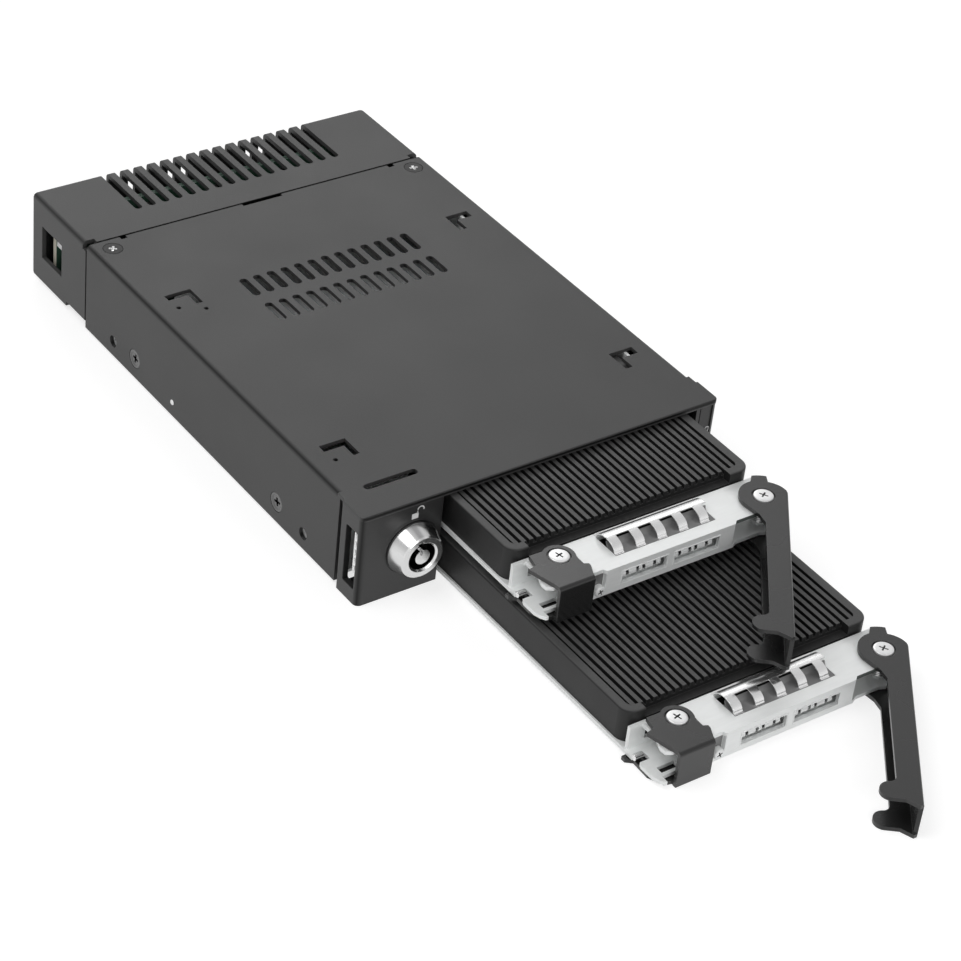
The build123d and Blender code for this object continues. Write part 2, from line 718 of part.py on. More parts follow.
module_half = 11.0
module_front = lid_front + 9.6
module_rear = lid_rear - 12.0
boss_x = (lid_left + lid_boss_inset, lid_right - lid_boss_inset)
boss_y = (lid_front + lid_boss_inset, lid_rear - lid_boss_inset)
lid_bosses = [(x, y) for x in boss_x for y in boss_y]
trays = (
    ("upper", tray_floor + tray_pitch, tray_out_upper),
    ("lower", tray_floor, tray_out_lower),
)
for name, tray_z, tray_out in trays:
    shift = front - tray_out
    top_flange = bracket_top + flange_gap
    foot_flange = -flange_gap - link_sheet
    bent_height = top_flange + link_sheet - foot_flange
    head_foot = top_flange + link_sheet - pivot_seat + 0.05

    def deck(z):
        """Horizontal plane at height z above the tray floor, in the tray's own depth."""
        return Plane(origin=(0, shift, tray_z + z), x_dir=(1, 0, 0), z_dir=(0, 0, 1))

    def screen(y):
        """Upright plane facing the front, at depth y of the tray."""
        return Plane(origin=(0, shift + y, tray_z), x_dir=(1, 0, 0), z_dir=(0, -1, 0))

    # Tray base sheet with the notched front plate below the latch and the lever.
    with BuildPart() as tray_base:
        with BuildSketch(deck(0)):
            with BuildLine():
                Polyline(
                    (tray_left, tray_rear), (tray_left, 10.6),
                    (tray_left + 3.2, 10.6), (tray_left + 3.2, 8.3),
                    (tray_left + 0.4, 8.3), (tray_left, 7.4), (tray_left, 3.4), (tray_left + 0.6, 1.5),
                    (tray_left + 1.4, 0.5), (tray_left + 1.9, 0.4), (tray_left + 1.9, 2.4),
                    (latch_pivot[0] + 3.7, 2.4), (latch_pivot[0] + 4.0, bracket_face),
                    (bracket_right + 0.4, bracket_face), (bracket_right + 1.8, 2.2),
                    (lever_pivot[0] - 2.8, 2.2), (lever_pivot[0] - 1.2, 1.6), (lever_pivot[0] + 1.8, 1.9),
                    (tray_right - 0.4, 3.4), (tray_right, 5.4),
                    (tray_right, tray_rear), (tray_left, tray_rear),
                )
            make_face()
            span(tray_left + 2.5, tray_left + 7.3, 3.3, 5.2, Mode.SUBTRACT)
            with Locations(lever_pivot, latch_pivot):
                Circle(pivot_shank, mode=Mode.SUBTRACT)
            with Locations(*lid_bosses):
                Circle(lid_screw_radius, mode=Mode.SUBTRACT)
        extrude(amount=tray_sheet)
    tray_base.part.label = f"{name}_tray_base"

    # Front bracket: top plate, windowed face and stepped left recess, bent from one sheet.
    with BuildPart() as bracket:
        with BuildSketch(deck(bracket_top - tray_sheet)):
            with BuildLine():
                Polyline(
                    (tray_left + 0.5, bracket_rear), (tray_left + 0.5, bracket_rear - tray_sheet),
                    (tray_left + 3.9, bracket_rear - tray_sheet), (tray_left + 3.9, 8.6),
                    (tray_left + 2.5, 5.2), (tray_left + 2.6, 3.4), (tray_left + 4.2, 2.4),
                    (bracket_left - 0.6, 2.4), (bracket_left, bracket_face), (bracket_right, bracket_face),
                    (bracket_right + 1.0, 2.4), (lever_pivot[0] - 2.8, 2.4), (lever_pivot[0] - 1.0, 1.8),
                    (lever_pivot[0] + 1.2, 1.9), (tray_right - 1.0, 3.4), (tray_right - 0.6, 5.6),
                    (tray_right - 0.6, bracket_rear), (tray_left + 0.5, bracket_rear),
                )
            make_face()
            span(spring_slot_left, spring_slot_right, spring_slot_front, spring_slot_rear, Mode.SUBTRACT)
            with Locations(lever_pivot, latch_pivot):
                Circle(pivot_shank, mode=Mode.SUBTRACT)
        extrude(amount=tray_sheet)
        with BuildSketch(screen(bracket_face)):
            span(bracket_left, bracket_right, tray_sheet, bracket_top)
            fillet(vertices().sort_by(Axis.Y)[-2:], 0.4)
            span(bracket_left + 4.6, bracket_left + 17.4, 1.8, 5.1, Mode.SUBTRACT)
            span(bracket_right - 17.4, bracket_right - 4.3, 1.8, 5.1, Mode.SUBTRACT)
        extrude(amount=-tray_sheet)
        with BuildSketch(screen(2.6)):
            span(bracket_left - 3.5, bracket_left + 0.4, tray_sheet, bracket_top)
        extrude(amount=-tray_sheet)
        with BuildSketch(screen(bracket_rear - tray_sheet)):
            span(tray_left + 0.5, tray_left + 8.2, tray_sheet, bracket_top)
            span(tray_left + 4.9, tray_left + 7.2, 2.4, 5.4, Mode.SUBTRACT)
        extrude(amount=-tray_sheet)
        with BuildSketch(screen(bracket_rear - tray_sheet)):
            span(bracket_right + 2.4, tray_right - 0.6, tray_sheet, bracket_top)
        extrude(amount=-tray_sheet)
    bracket.part.label = f"{name}_bracket"

    # Lid: a metal heat spreader, rounded at the corners, with a recessed field of fins.
    with BuildPart() as lid:
        with BuildSketch(deck(tray_sheet)):
            span(lid_left, lid_right, lid_front, lid_rear)
            fillet(vertices(), lid_corner)
        extrude(amount=lid_top - tray_sheet)
        with BuildSketch(deck(fin_floor)):
            span(fin_field_left, fin_field_right, fin_field_front, fin_field_rear)
            fillet(vertices(), 1.5)
        extrude(amount=lid_top - fin_floor, mode=Mode.SUBTRACT)
        with BuildSketch(deck(lip_top)):
            span(lip_left, lip_right, lid_front - 1, fin_field_front)
        extrude(amount=lid_top - lip_top, mode=Mode.SUBTRACT)
        rim_edges = edges().group_by(Axis.Z)[-1].filter_by(GeomType.LINE).filter_by(Axis.Y)
        fillet(rim_edges.sort_by(Axis.X)[0], 0.5)
        with BuildSketch(deck(fin_floor)):
            for fin in range(fin_count):
                with Locations((fin_first + fin_pitch * fin, (fin_field_front + fin_field_rear) / 2)):
                    Rectangle(fin_width, fin_field_rear - fin_field_front)
        extrude(amount=fin_top - fin_floor)
        with BuildSketch(deck(tray_sheet)):
            span(lid_left + lid_wall, lid_right - lid_wall, lid_front + lid_wall, lid_rear - lid_wall)
        extrude(amount=lid_roof - tray_sheet, mode=Mode.SUBTRACT)
        with BuildSketch(deck(tray_sheet)):
            with Locations(*lid_bosses):
                Circle(lid_boss_radius)
        extrude(amount=lid_roof - tray_sheet)
        with BuildSketch(deck(plug_height - plug_thickness)):
            with Locations((bay_middle, lid_rear)):
                Rectangle(2 * plug_half + 4, 4 * lid_wall)
        extrude(amount=2 * plug_thickness, mode=Mode.SUBTRACT)
    lid.part.label = f"{name}_lid"

    # Carrier board, flash module, thermal pad and edge plug inside the lid.
    board_foot = 2.0
    with BuildPart() as carrier_board:
        with BuildSketch(deck(tray_sheet)):
            with Locations(*[(x, y) for x in (lid_left + 9.3, lid_right - 8.5)
                             for y in (lid_front + 10.6, lid_rear - 10.0)]):
                Circle(2.0)
        extrude(amount=board_foot - tray_sheet)
        with BuildSketch(deck(board_foot)):
            span(lid_left + 6.3, lid_right - 5.5, lid_front + 6.6, lid_rear - 6.2)
        extrude(amount=1.0)
    carrier_board.part.label = f"{name}_carrier_board"

    with BuildPart() as module:
        with BuildSketch(deck(board_foot + 1.0)):
            span(bay_middle - module_half, bay_middle + module_half, module_front, module_rear)
        extrude(amount=1.0)
        with BuildSketch(deck(board_foot + 2.0)):
            with Locations((bay_middle, (module_front + module_rear) / 2)):
                with GridLocations(1, 22.0, 1, 3):
                    Rectangle(16.0, 14.0)
        extrude(amount=1.2)
    module.part.label = f"{name}_ssd_module"

    with BuildPart() as thermal_pad:
        with BuildSketch(deck(board_foot + 3.2)):
            span(bay_middle - module_half + 1.0, bay_middle + module_half - 1.0,
                 module_front + 4.0, module_rear - 8.0)
        extrude(amount=lid_roof - board_foot - 3.2)
    thermal_pad.part.label = f"{name}_thermal_pad"

    with BuildPart() as tray_plug:
        with BuildSketch(deck(plug_height - plug_thickness / 2)):
            span(bay_middle - plug_half, bay_middle + plug_half, lid_rear - 8.0, plug_tip)
        extrude(amount=plug_thickness)
        with BuildSketch(deck(board_foot + 1.0)):
            span(bay_middle - plug_half - 1.0, bay_middle + plug_half + 1.0, lid_rear - 9.0, lid_rear - 4.5)
        extrude(amount=plug_height + plug_thickness / 2 - board_foot - 1.0 + 0.4)
    tray_plug.part.label = f"{name}_tray_plug"

    # Contact springs: a comb of bowed fingers on top and a folded strip behind the windows.
    with BuildPart() as contact_springs:
        with BuildSketch(deck(bracket_top)):
            span(spring_slot_left - 0.8, spring_slot_right + 0.8, spring_slot_rear, spring_slot_rear + 1.3)
        extrude(amount=finger_sheet)
        crown = bracket_top + finger_rise - finger_sheet
        bow_rear = (spring_slot_rear + 0.4, bracket_top + 0.15)
        bow_front = (spring_slot_front + 1.8, bracket_top - 0.3)
        for finger in range(finger_count):
            finger_x = finger_first + finger_pitch * finger
            bow_plane = Plane(
                origin=(finger_x - finger_width / 2, shift, tray_z), x_dir=(0, 1, 0), z_dir=(1, 0, 0)
            )
            with BuildSketch(bow_plane):
                with BuildLine() as finger_line:
                    ThreePointArc(bow_rear, (9.8, crown), bow_front)
                    Line(bow_front, (bow_front[0] - 0.6, bow_front[1] - 0.9))
                trace(finger_line.wires()[0], line_width=finger_sheet)
            extrude(amount=finger_width)
        ridge_plane = Plane(
            origin=(finger_first - finger_width / 2, shift, tray_z), x_dir=(0, 1, 0), z_dir=(1, 0, 0)
        )
        with BuildSketch(ridge_plane):
            with BuildLine() as ridge_line:
                ThreePointArc(bow_rear, (9.8, crown), bow_front)
            trace(ridge_line.line, line_width=finger_sheet)
            span(ridge_front, ridge_rear, bracket_top, bracket_top + 2 * finger_rise, Mode.INTERSECT)
        extrude(amount=finger_pitch * (finger_count - 1) + finger_width)
        with BuildSketch(deck(tray_sheet)):
            with BuildLine() as folds:
                Polyline([
                    (bracket_left + 4.3 + 2.4 * step, 2.9 if step % 2 == 0 else 4.4) for step in range(13)
                ])
            trace(folds.line, line_width=0.4)
        extrude(amount=4.4)
    contact_springs.part.label = f"{name}_contact_springs"

    # Pivot screws, their spacer sleeves and the small recess screw.
    with BuildPart() as pivot_screws:
        for pivot in (lever_pivot, latch_pivot):
            with BuildSketch(deck(foot_flange + 0.1)):
                with Locations(pivot):
                    Circle(pivot_shank)
            extrude(amount=head_foot - foot_flange - 0.1)
            with BuildSketch(deck(head_foot)):
                with Locations(pivot):
                    Circle(pivot_head)
            extrude(amount=pivot_head_height)
        fillet(edges().group_by(Axis.Z)[-1], 0.35)
    pivot_screws.part.label = f"{name}_pivot_screws"

    with BuildPart() as pivot_sleeves:
        with BuildSketch(deck(tray_sheet)):
            with Locations(lever_pivot, latch_pivot):
                Circle(sleeve_radius)
                Circle(pivot_shank, mode=Mode.SUBTRACT)
        extrude(amount=bracket_top - 2 * tray_sheet)
    pivot_sleeves.part.label = f"{name}_pivot_sleeves"

    with BuildPart() as tray_screws:
        with BuildSketch(screen(2.6)):
            with Locations((bracket_left - 1.7, 2.3)):
                Circle(1.2)
        extrude(amount=1.6)
        with BuildSketch(deck(0)):
            with Locations(*lid_bosses):
                Circle(lid_screw_radius)
        extrude(amount=tray_sheet)
    tray_screws.part.label = f"{name}_tray_screws"

    # Return springs wound round the two sleeves.
    with BuildPart() as return_springs:
        for pivot in (lever_pivot, latch_pivot):
            post = (pivot[0], shift + pivot[1], tray_z)
            with BuildSketch(Plane(origin=post, x_dir=(1, 0, 0), z_dir=(0, -1, 0))):
                span(sleeve_radius + 0.05, sleeve_radius + 0.4, 1.8, 4.6)
                with Locations(*[(sleeve_radius + 0.4, 2.1 + 0.6 * turn) for turn in range(4)]):
                    Circle(0.28)
            revolve(axis=Axis(post, (0, 0, 1)))
    return_springs.part.label = f"{name}_return_springs"

    # Lever: two flanges and a web bent from one sheet, shown swung open.
    swing = radians(lever_open)
    grip_start = lever_length - 9.0
    lever_dir = (-cos(swing), -sin(swing), 0)

    def lever_plane(z):
        """Plane at height z with u along the lever and v towards its web."""
        origin = (lever_pivot[0], shift + lever_pivot[1], tray_z + z)
        return Plane(origin=origin, x_dir=lever_dir, z_dir=(0, 0, 1))

    with BuildPart() as lever:
        for flange_z in (foot_flange, top_flange):
            with BuildSketch(lever_plane(flange_z)):
                with BuildLine():
                    Polyline(
                        (-2.2, lever_reach), (lever_length - 0.9, lever_reach),
                        (lever_length - 0.3, lever_reach - 0.8),
                        (lever_length - 2.0, 2.2), (lever_length - 2.0, -0.8),
                    )
                    ThreePointArc(
                        (lever_length - 2.0, -0.8), (lever_length - 4.6, -3.6), (lever_length - 7.2, -1.2),
                    )
                    ThreePointArc(
                        (lever_length - 7.2, -1.2), (lever_length - 7.8, -0.1), (grip_start, lever_inner),
                    )
                    Polyline((grip_start, lever_inner), (10.4, lever_inner), (7.6, -1.0), lever_hub_left)
                    ThreePointArc(lever_hub_left, (0, -hub_radius), lever_hub_right)
                    Line(lever_hub_right, (-tooth_radius * cos(tooth_end), -tooth_radius * sin(tooth_end)))
                    ThreePointArc(
                        (-tooth_radius * cos(tooth_end), -tooth_radius * sin(tooth_end)),
                        (-tooth_radius * cos(tooth_mid), -tooth_radius * sin(tooth_mid)),
                        (-tooth_radius * cos(tooth_start), -tooth_radius * sin(tooth_start)),
                    )
                    Line((-tooth_radius * cos(tooth_start), -tooth_radius * sin(tooth_start)), (-5.58, 1.19))
                    ThreePointArc((-5.58, 1.19), (-4.6, 3.9), (-2.2, lever_reach))
                make_face()
                Circle(pivot_hole, mode=Mode.SUBTRACT)
            extrude(amount=link_sheet)
        with BuildSketch(lever_plane(foot_flange)):
            span(-2.0, lever_length - 0.9, lever_reach - link_sheet, lever_reach)
        extrude(amount=bent_height)
        fillet(edges().group_by(Axis.Z)[-1].filter_by(GeomType.LINE).sort_by(SortBy.LENGTH)[-1], 0.6)
        with BuildSketch(lever_plane(top_flange + link_sheet)):
            Circle(pivot_head + pivot_seat_gap)
        extrude(amount=-pivot_seat, mode=Mode.SUBTRACT)
    lever.part.label = f"{name}_lever"

    # Latch: a folded thumb piece whose foot flange carries the locking horn.
    def latch_plane(z):
        """Plane at height z centred on the latch pivot."""
        origin = (latch_pivot[0], shift + latch_pivot[1], tray_z + z)
        return Plane(origin=origin, x_dir=(1, 0, 0), z_dir=(0, 0, 1))

    with BuildPart() as latch:
        with BuildSketch(latch_plane(top_flange)):
            Polygon(*latch_outline, align=None)
            Circle(latch_hub)
            Circle(pivot_hole, mode=Mode.SUBTRACT)
        extrude(amount=link_sheet)
        with BuildSketch(latch_plane(foot_flange)):
            Polygon(*latch_foot_outline, align=None)
            Circle(pivot_hole, mode=Mode.SUBTRACT)
        extrude(amount=link_sheet)
        with BuildSketch(latch_plane(foot_flange)):
            span(-6.9, 2.8, latch_face - latch_pivot[1], latch_face - latch_pivot[1] + link_sheet)
        extrude(amount=bent_height)
        fillet(edges().group_by(Axis.Z)[-1].filter_by(Axis.X).sort_by(Axis.Y)[0], 0.9)
        with BuildSketch(latch_plane(top_flange + link_sheet)):
            Circle(pivot_head + pivot_seat_gap)
        extrude(amount=-pivot_seat, mode=Mode.SUBTRACT)
    latch.part.label = f"{name}_latch"

    pieces = (
        tray_base, bracket, lid, carrier_board, module, thermal_pad, tray_plug, contact_springs,
        pivot_screws, pivot_sleeves, tray_screws, return_springs, lever, latch,
    )
    for piece in pieces:
        export_step(piece.part, f"parts/{piece.part.label}.step")
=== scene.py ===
# %% [markdown]
# # A hot swap drive cage
# The object is a slim, dark grey metal housing that slides into a computer's front bay. Two flat trays
# stick out of it, each with a finned black lid, a bright sheet metal front, a swing lever and a thumb
# latch. The solids come from the frame. This file gives them their finishes, and adds what is too fine
# for the solids: screw drives, coiled and bowed springs, circuit board parts and printed marks.

# %% Load the frame
import json
import math

import bmesh
import bpy
from mathutils import Matrix, Vector


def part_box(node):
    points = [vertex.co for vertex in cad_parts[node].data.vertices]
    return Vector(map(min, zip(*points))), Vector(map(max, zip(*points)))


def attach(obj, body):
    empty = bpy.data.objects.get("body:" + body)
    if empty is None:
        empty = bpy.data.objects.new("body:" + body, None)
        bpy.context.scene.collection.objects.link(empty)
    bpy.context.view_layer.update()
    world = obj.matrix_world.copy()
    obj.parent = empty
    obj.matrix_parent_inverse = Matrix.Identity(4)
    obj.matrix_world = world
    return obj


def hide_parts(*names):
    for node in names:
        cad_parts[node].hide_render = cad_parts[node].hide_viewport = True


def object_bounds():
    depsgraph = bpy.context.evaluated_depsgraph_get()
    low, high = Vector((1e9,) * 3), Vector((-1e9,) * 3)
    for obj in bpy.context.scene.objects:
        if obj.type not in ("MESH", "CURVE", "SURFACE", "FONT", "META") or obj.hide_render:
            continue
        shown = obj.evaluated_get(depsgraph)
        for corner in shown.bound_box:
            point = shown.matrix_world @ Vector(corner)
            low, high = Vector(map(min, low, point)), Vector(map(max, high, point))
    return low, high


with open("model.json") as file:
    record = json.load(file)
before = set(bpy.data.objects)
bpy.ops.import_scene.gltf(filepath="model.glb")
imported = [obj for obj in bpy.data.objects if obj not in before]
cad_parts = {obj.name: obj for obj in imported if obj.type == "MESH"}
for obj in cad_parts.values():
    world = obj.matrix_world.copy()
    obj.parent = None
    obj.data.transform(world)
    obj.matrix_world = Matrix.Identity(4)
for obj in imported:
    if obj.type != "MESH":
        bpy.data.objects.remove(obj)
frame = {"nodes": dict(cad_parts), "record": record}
cad_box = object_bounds()
print("pieces in the frame:", len(frame["nodes"]))


# %% [markdown]
# ## One ruler
# Depths are easiest to read from the front face of the housing, but the frame's origin is between
# the mounting holes. One function turns (x, depth behind the front, height) in millimetres into the
# frame's metres, so every later cell can use workshop numbers. Each tray is given by how far it is out
# in the photograph and how high its floor is.

# %% Places in millimetres
MM = 0.001
FRONT = -69.1
UPPER = {"name": "upper", "out": 38.3, "floor": 14.0}
LOWER = {"name": "lower", "out": 84.3, "floor": 1.3}
TRAYS = (UPPER, LOWER)


def at(x, depth, z):
    """A point given by millimetres right, behind the front face and up."""
    return Vector((x, FRONT + depth, z)) * MM


def on_tray(tray, x, depth, z):
    """The same for a tray, whose depths are those it has when pushed home."""
    return at(x, depth - tray["out"], tray["floor"] + z)


print("front face at", at(0, 0, 0)[:])


# %% [markdown]
# ## Shader maths that reads like maths
# A material is a small graph of nodes. Writing it link by link hides the idea, so one class wraps a
# socket and lets +, - and * add the Math nodes. Every other kind of node comes from one method.

# %% A socket that can be calculated with
class Value:
    """The output of a node, for use in expressions."""

    def __init__(self, finish, socket):
        self.finish = finish
        self.socket = socket

    def combine(self, operation, first, second):
        return self.finish.node("ShaderNodeMath", {"operation": operation}, {0: first, 1: second})

    def __add__(self, other):
        return self.combine("ADD", self, other)

    def __radd__(self, other):
        return self.combine("ADD", other, self)

    def __sub__(self, other):
        return self.combine("SUBTRACT", self, other)

    def __rsub__(self, other):
        return self.combine("SUBTRACT", other, self)

    def __mul__(self, other):
        return self.combine("MULTIPLY", self, other)

    def __rmul__(self, other):
        return self.combine("MULTIPLY", other, self)

    def or_more(self, other):
        """The larger of two values."""
        return self.combine("MAXIMUM", self, other)

    def between(self, low, high):
        """0 below low, 1 above high and even between them."""
        inputs = {"Value": self, "From Min": low, "From Max": high}
        return self.finish.node("ShaderNodeMapRange", {"clamp": True}, inputs)


print("a socket can now be added, taken away and multiplied")


# %% A material under construction
BENT, SQUARE = 0.55, 0.98


class Finish:
    """A material whose nodes are made one call at a time."""

    def __init__(self, name):
        self.material = bpy.data.materials.new(name)
        self.material.use_nodes = True
        self.tree = self.material.node_tree
        self.tree.nodes.clear()

    def node(self, kind, settings=None, inputs=None, out=0):
        """Any node, from its type, its settings and the values or links of its sockets."""
        made = self.tree.nodes.new(kind)
        for key, value in (settings or {}).items():
            setattr(made, key, value)
        for key, value in (inputs or {}).items():
            if isinstance(value, Value):
                self.tree.links.new(value.socket, made.inputs[key])
            else:
                made.inputs[key].default_value = value
        return Value(self, made.outputs[out]) if made.outputs else None

    def place(self):
        """The object's own coordinates, in metres."""
        return self.node("ShaderNodeTexCoord", out="Object")

    def along(self, axis):
        """The place along X, Y or Z, in metres."""
        return self.node("ShaderNodeSeparateXYZ", None, {0: self.place()}, out=axis)

    def stretched(self, sx, sy, sz):
        """The coordinates, scaled differently along each axis."""
        return self.node("ShaderNodeMapping", None, {"Vector": self.place(), "Scale": (sx, sy, sz)})

    def noise(self, scale, detail=2.0, where=None):
        where = where or self.place()
        return self.node("ShaderNodeTexNoise", None, {"Vector": where, "Scale": scale, "Detail": detail})

    def mixed(self, factor, first, second):
        """A colour between two, by a factor that may vary."""
        inputs = {"Factor": factor, 6: first, 7: second}
        return self.node("ShaderNodeMix", {"data_type": "RGBA"}, inputs, out=2)

    def toned(self, colour, tone):
        """A colour made lighter or darker by a tone that varies about 1."""
        inputs = {0: colour[:3], "Scale": tone}
        return self.node("ShaderNodeVectorMath", {"operation": "SCALE"}, inputs)

    def facing(self, axis):
        """How much the surface faces along X, Y or Z: 1 when square to it."""
        normal = self.node("ShaderNodeTexCoord", out="Normal")
        part = self.node("ShaderNodeSeparateXYZ", None, {0: normal}, out=axis)
        return part * part

    def bend(self):
        """About 1 on a bend or a rounded edge, and 0 on walls square to an axis."""
        square = self.facing("X").or_more(self.facing("Y")).or_more(self.facing("Z"))
        return 1 - square.between(BENT, SQUARE)

    def rounded(self, radius):
        """The normal, turned softly over edges within a radius."""
        return self.node("ShaderNodeBevel", {"samples": 4}, {"Radius": radius})

    def edge_mask(self, radius):
        """About 0 on flats and up to 0.3 along edges within a radius: the mask for painted highlights and
        shade along edges.
        """
        soft = self.rounded(radius)
        flat = self.node("ShaderNodeNewGeometry", out="Normal")
        settings = {"operation": "DOT_PRODUCT"}
        return 1 - self.node("ShaderNodeVectorMath", settings, {0: soft, 1: flat}, out="Value")

    def bumped(self, height, depth, radius=0):
        """A normal raised by a height map, over edges rounded by a radius."""
        inputs = {"Height": height, "Distance": depth, "Strength": 1.0}
        if radius:
            inputs["Normal"] = self.rounded(radius)
        return self.node("ShaderNodeBump", None, inputs)

    def surface(self, inputs):
        shader = self.node("ShaderNodeBsdfPrincipled", None, inputs)
        self.node("ShaderNodeOutputMaterial", None, {"Surface": shader})
        return self.material


def shade(level, tint=(1, 1, 1)):
    """A grey given as it looks on a screen, 0 to 255, turned into linear light."""
    value = level / 255
    linear = value / 12.92 if value <= 0.04045 else ((value + 0.055) / 1.055) ** 2.4
    return (linear * tint[0], linear * tint[1], linear * tint[2], 1)


print("shade of the cover:", shade(63)[:3])


# %% [markdown]
# ## Painted sheet metal
# The housing has a fine powder coat: matt, with a grain of a few tenths of a millimetre. Painted shade
# darkens it round the bends of the sheet, beside a seam and along the cover's front brink, where one
# mask turns it to dark metal, because a black paint would still shine grey. A painted highlight makes a
# slightly brighter line along edges, and on the bezel that line is a painted shade. The same recipe in
# other greys gives the bezel, lever and latch.

# %% Lines of painted shade
# Where the edge mask, for painted highlights and shade along edges, starts and is full.
EDGE_MASK_LOW, EDGE_MASK_HIGH = 0.06, 0.26
SEAM = at(0, 128.4, 0).y
BRINK_FRONT, BRINK_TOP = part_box("top_cover")[0][1], cad_box[1][2]


def seam_shadow(finish):
    """Painted shade: 1 in the line where the cover meets the rear housing, and 0 a millimetre away."""
    depth = finish.along("Y")
    from_front = depth.between(SEAM - 0.3 * MM, SEAM - 0.1 * MM)
    return from_front * (1 - depth.between(SEAM + 0.45 * MM, SEAM + 0.65 * MM))


def brink_shadow(finish):
    """Painted shade: nearly 1 along the upper front edge of the cover."""
    near_front = 1 - finish.along("Y").between(BRINK_FRONT + 0.4 * MM, BRINK_FRONT + 0.7 * MM)
    near_top = finish.along("Z").between(BRINK_TOP - 0.7 * MM, BRINK_TOP - 0.5 * MM)
    return near_front * near_top * 0.9


print("seam at", round(SEAM, 5), "and brink at", round(BRINK_FRONT, 5))


# %% Powder coat and enamel
def painted(name, level, edge_level, edge_radius, grain, roughness, specular, bend_shadow, lines=()):
    finish = Finish(name)
    fine = finish.noise(2600, 3.0)
    broad = finish.noise(45)
    tone = (fine - 0.5) * 0.22 + (broad - 0.5) * 0.10 + 1.0
    # The edge colour is a painted highlight along edges; on the bezel it is a darker painted shade.
    edge = finish.edge_mask(edge_radius).between(EDGE_MASK_LOW, EDGE_MASK_HIGH)
    colour = finish.mixed(edge * 0.75, finish.toned(shade(level), tone), shade(edge_level))
    # Painted shade on bends and along the lines, turned into dark metal.
    shadow = finish.bend() * bend_shadow
    for line in lines:
        shadow = shadow.or_more(line(finish))
    return finish.surface({
        "Base Color": finish.mixed(shadow, colour, shade(24)),
        "Metallic": shadow * 0.9,
        "Roughness": (broad - 0.5) * 0.12 + roughness,
        "Specular IOR Level": specular,
        "Normal": finish.bumped(fine, grain, edge_radius),
    })


POWDER = {"edge_level": 86, "edge_radius": 0.0002, "grain": 0.00003, "roughness": 0.48, "specular": 0.31}
cover_coat = painted("cover_coat", 63, bend_shadow=0.75, lines=(seam_shadow, brink_shadow), **POWDER)
housing_coat = painted("housing_coat", 66, bend_shadow=0.6, lines=(seam_shadow,), **POWDER)
bezel_coat = painted(
    "bezel_coat", 43, edge_level=14, edge_radius=0.0003, grain=0.000025,
    roughness=0.34, specular=0.38, bend_shadow=0.7,
)
handle_coat = painted(
    "handle_coat", 33, edge_level=80, edge_radius=0.00016, grain=0.00001,
    roughness=0.27, specular=0.6, bend_shadow=0.35,
)
print("painted finishes:", cover_coat.name, housing_coat.name, bezel_coat.name, handle_coat.name)


# %% [markdown]
# ## Black anodised aluminium
# The lids are cast and anodised. The top of each fin carries a painted highlight, so height above the tray
# floor steers the colour. Faces that look up are painted lighter, as painted light from above, and the
# edges get a painted highlight.

# %% Anodised lid
FIN_TOP_STARTS, FIN_TOP_ENDS = 9.25, 9.45


def anodised(name, floor):
    finish = Finish(name)
    fine = finish.noise(2200, 3.0)
    top = finish.along("Z").between((floor + FIN_TOP_STARTS) * MM, (floor + FIN_TOP_ENDS) * MM)
    up = finish.facing("Z").between(0.4, 0.9)
    broad = finish.noise(60)
    # Upward faces are a lighter grey: painted light from above.
    flat = finish.mixed(up, shade(30), shade(40))
    # Painted highlight along the fin tops.
    highlit_fin_tops = finish.mixed(top * up * ((fine - 0.5) * 0.5 + 0.9), flat, shade(78))
    # Painted highlight along edges.
    edge = finish.edge_mask(0.0002).between(EDGE_MASK_LOW, EDGE_MASK_HIGH)
    return finish.surface({
        "Base Color": finish.mixed(edge * 0.6, highlit_fin_tops, shade(96)),
        "Roughness": (broad - 0.5) * 0.15 + 0.46,
        "Specular IOR Level": 0.3,
        "Normal": finish.bumped(fine, 0.000015, 0.00015),
    })


lid_finishes = {tray["name"]: anodised(tray["name"] + "_anodised", tray["floor"]) for tray in TRAYS}
print("lid finishes:", sorted(lid_finishes))


# %% [markdown]
# ## Bright metals
# Zinc plated sheet is pale and a little cloudy with a faint rolling direction. The right end of each
# bracket mirrors the dark housing behind it, so its upright faces carry a painted dark reflection there.
# Springs and the lock are polished, so nearly all of their look comes from what they reflect.

# %% Zinc, spring steel, nickel and dark screws
def bright(name, level, roughness, cloud, rolled=None, tint=(1, 1, 1), metallic=1.0, grain=0.000004,
           dark_reflection_from=None):
    finish = Finish(name)
    broad = finish.noise(160, 3.0)
    lines = finish.noise(900, 2.0, finish.stretched(*rolled)) if rolled else finish.noise(1800)
    tone = (broad - 0.5) * cloud + (lines - 0.5) * 0.10 + 1.0
    colour = finish.toned(shade(level, tint), tone)
    # Painted dark reflection on the upright faces right of a given x.
    if dark_reflection_from is not None:
        on_walls = 1 - finish.facing("Z")
        dark_reflection = finish.along("X").between(dark_reflection_from, dark_reflection_from + 0.3 * MM) * on_walls
        colour = finish.mixed(dark_reflection, colour, shade(112, (0.9, 1.0, 0.95)))
    return finish.surface({
        "Base Color": colour,
        "Metallic": metallic,
        "Roughness": (lines - 0.5) * 0.16 + (broad - 0.5) * 0.10 + roughness,
        "Normal": finish.bumped(lines, grain, 0.00012),
    })


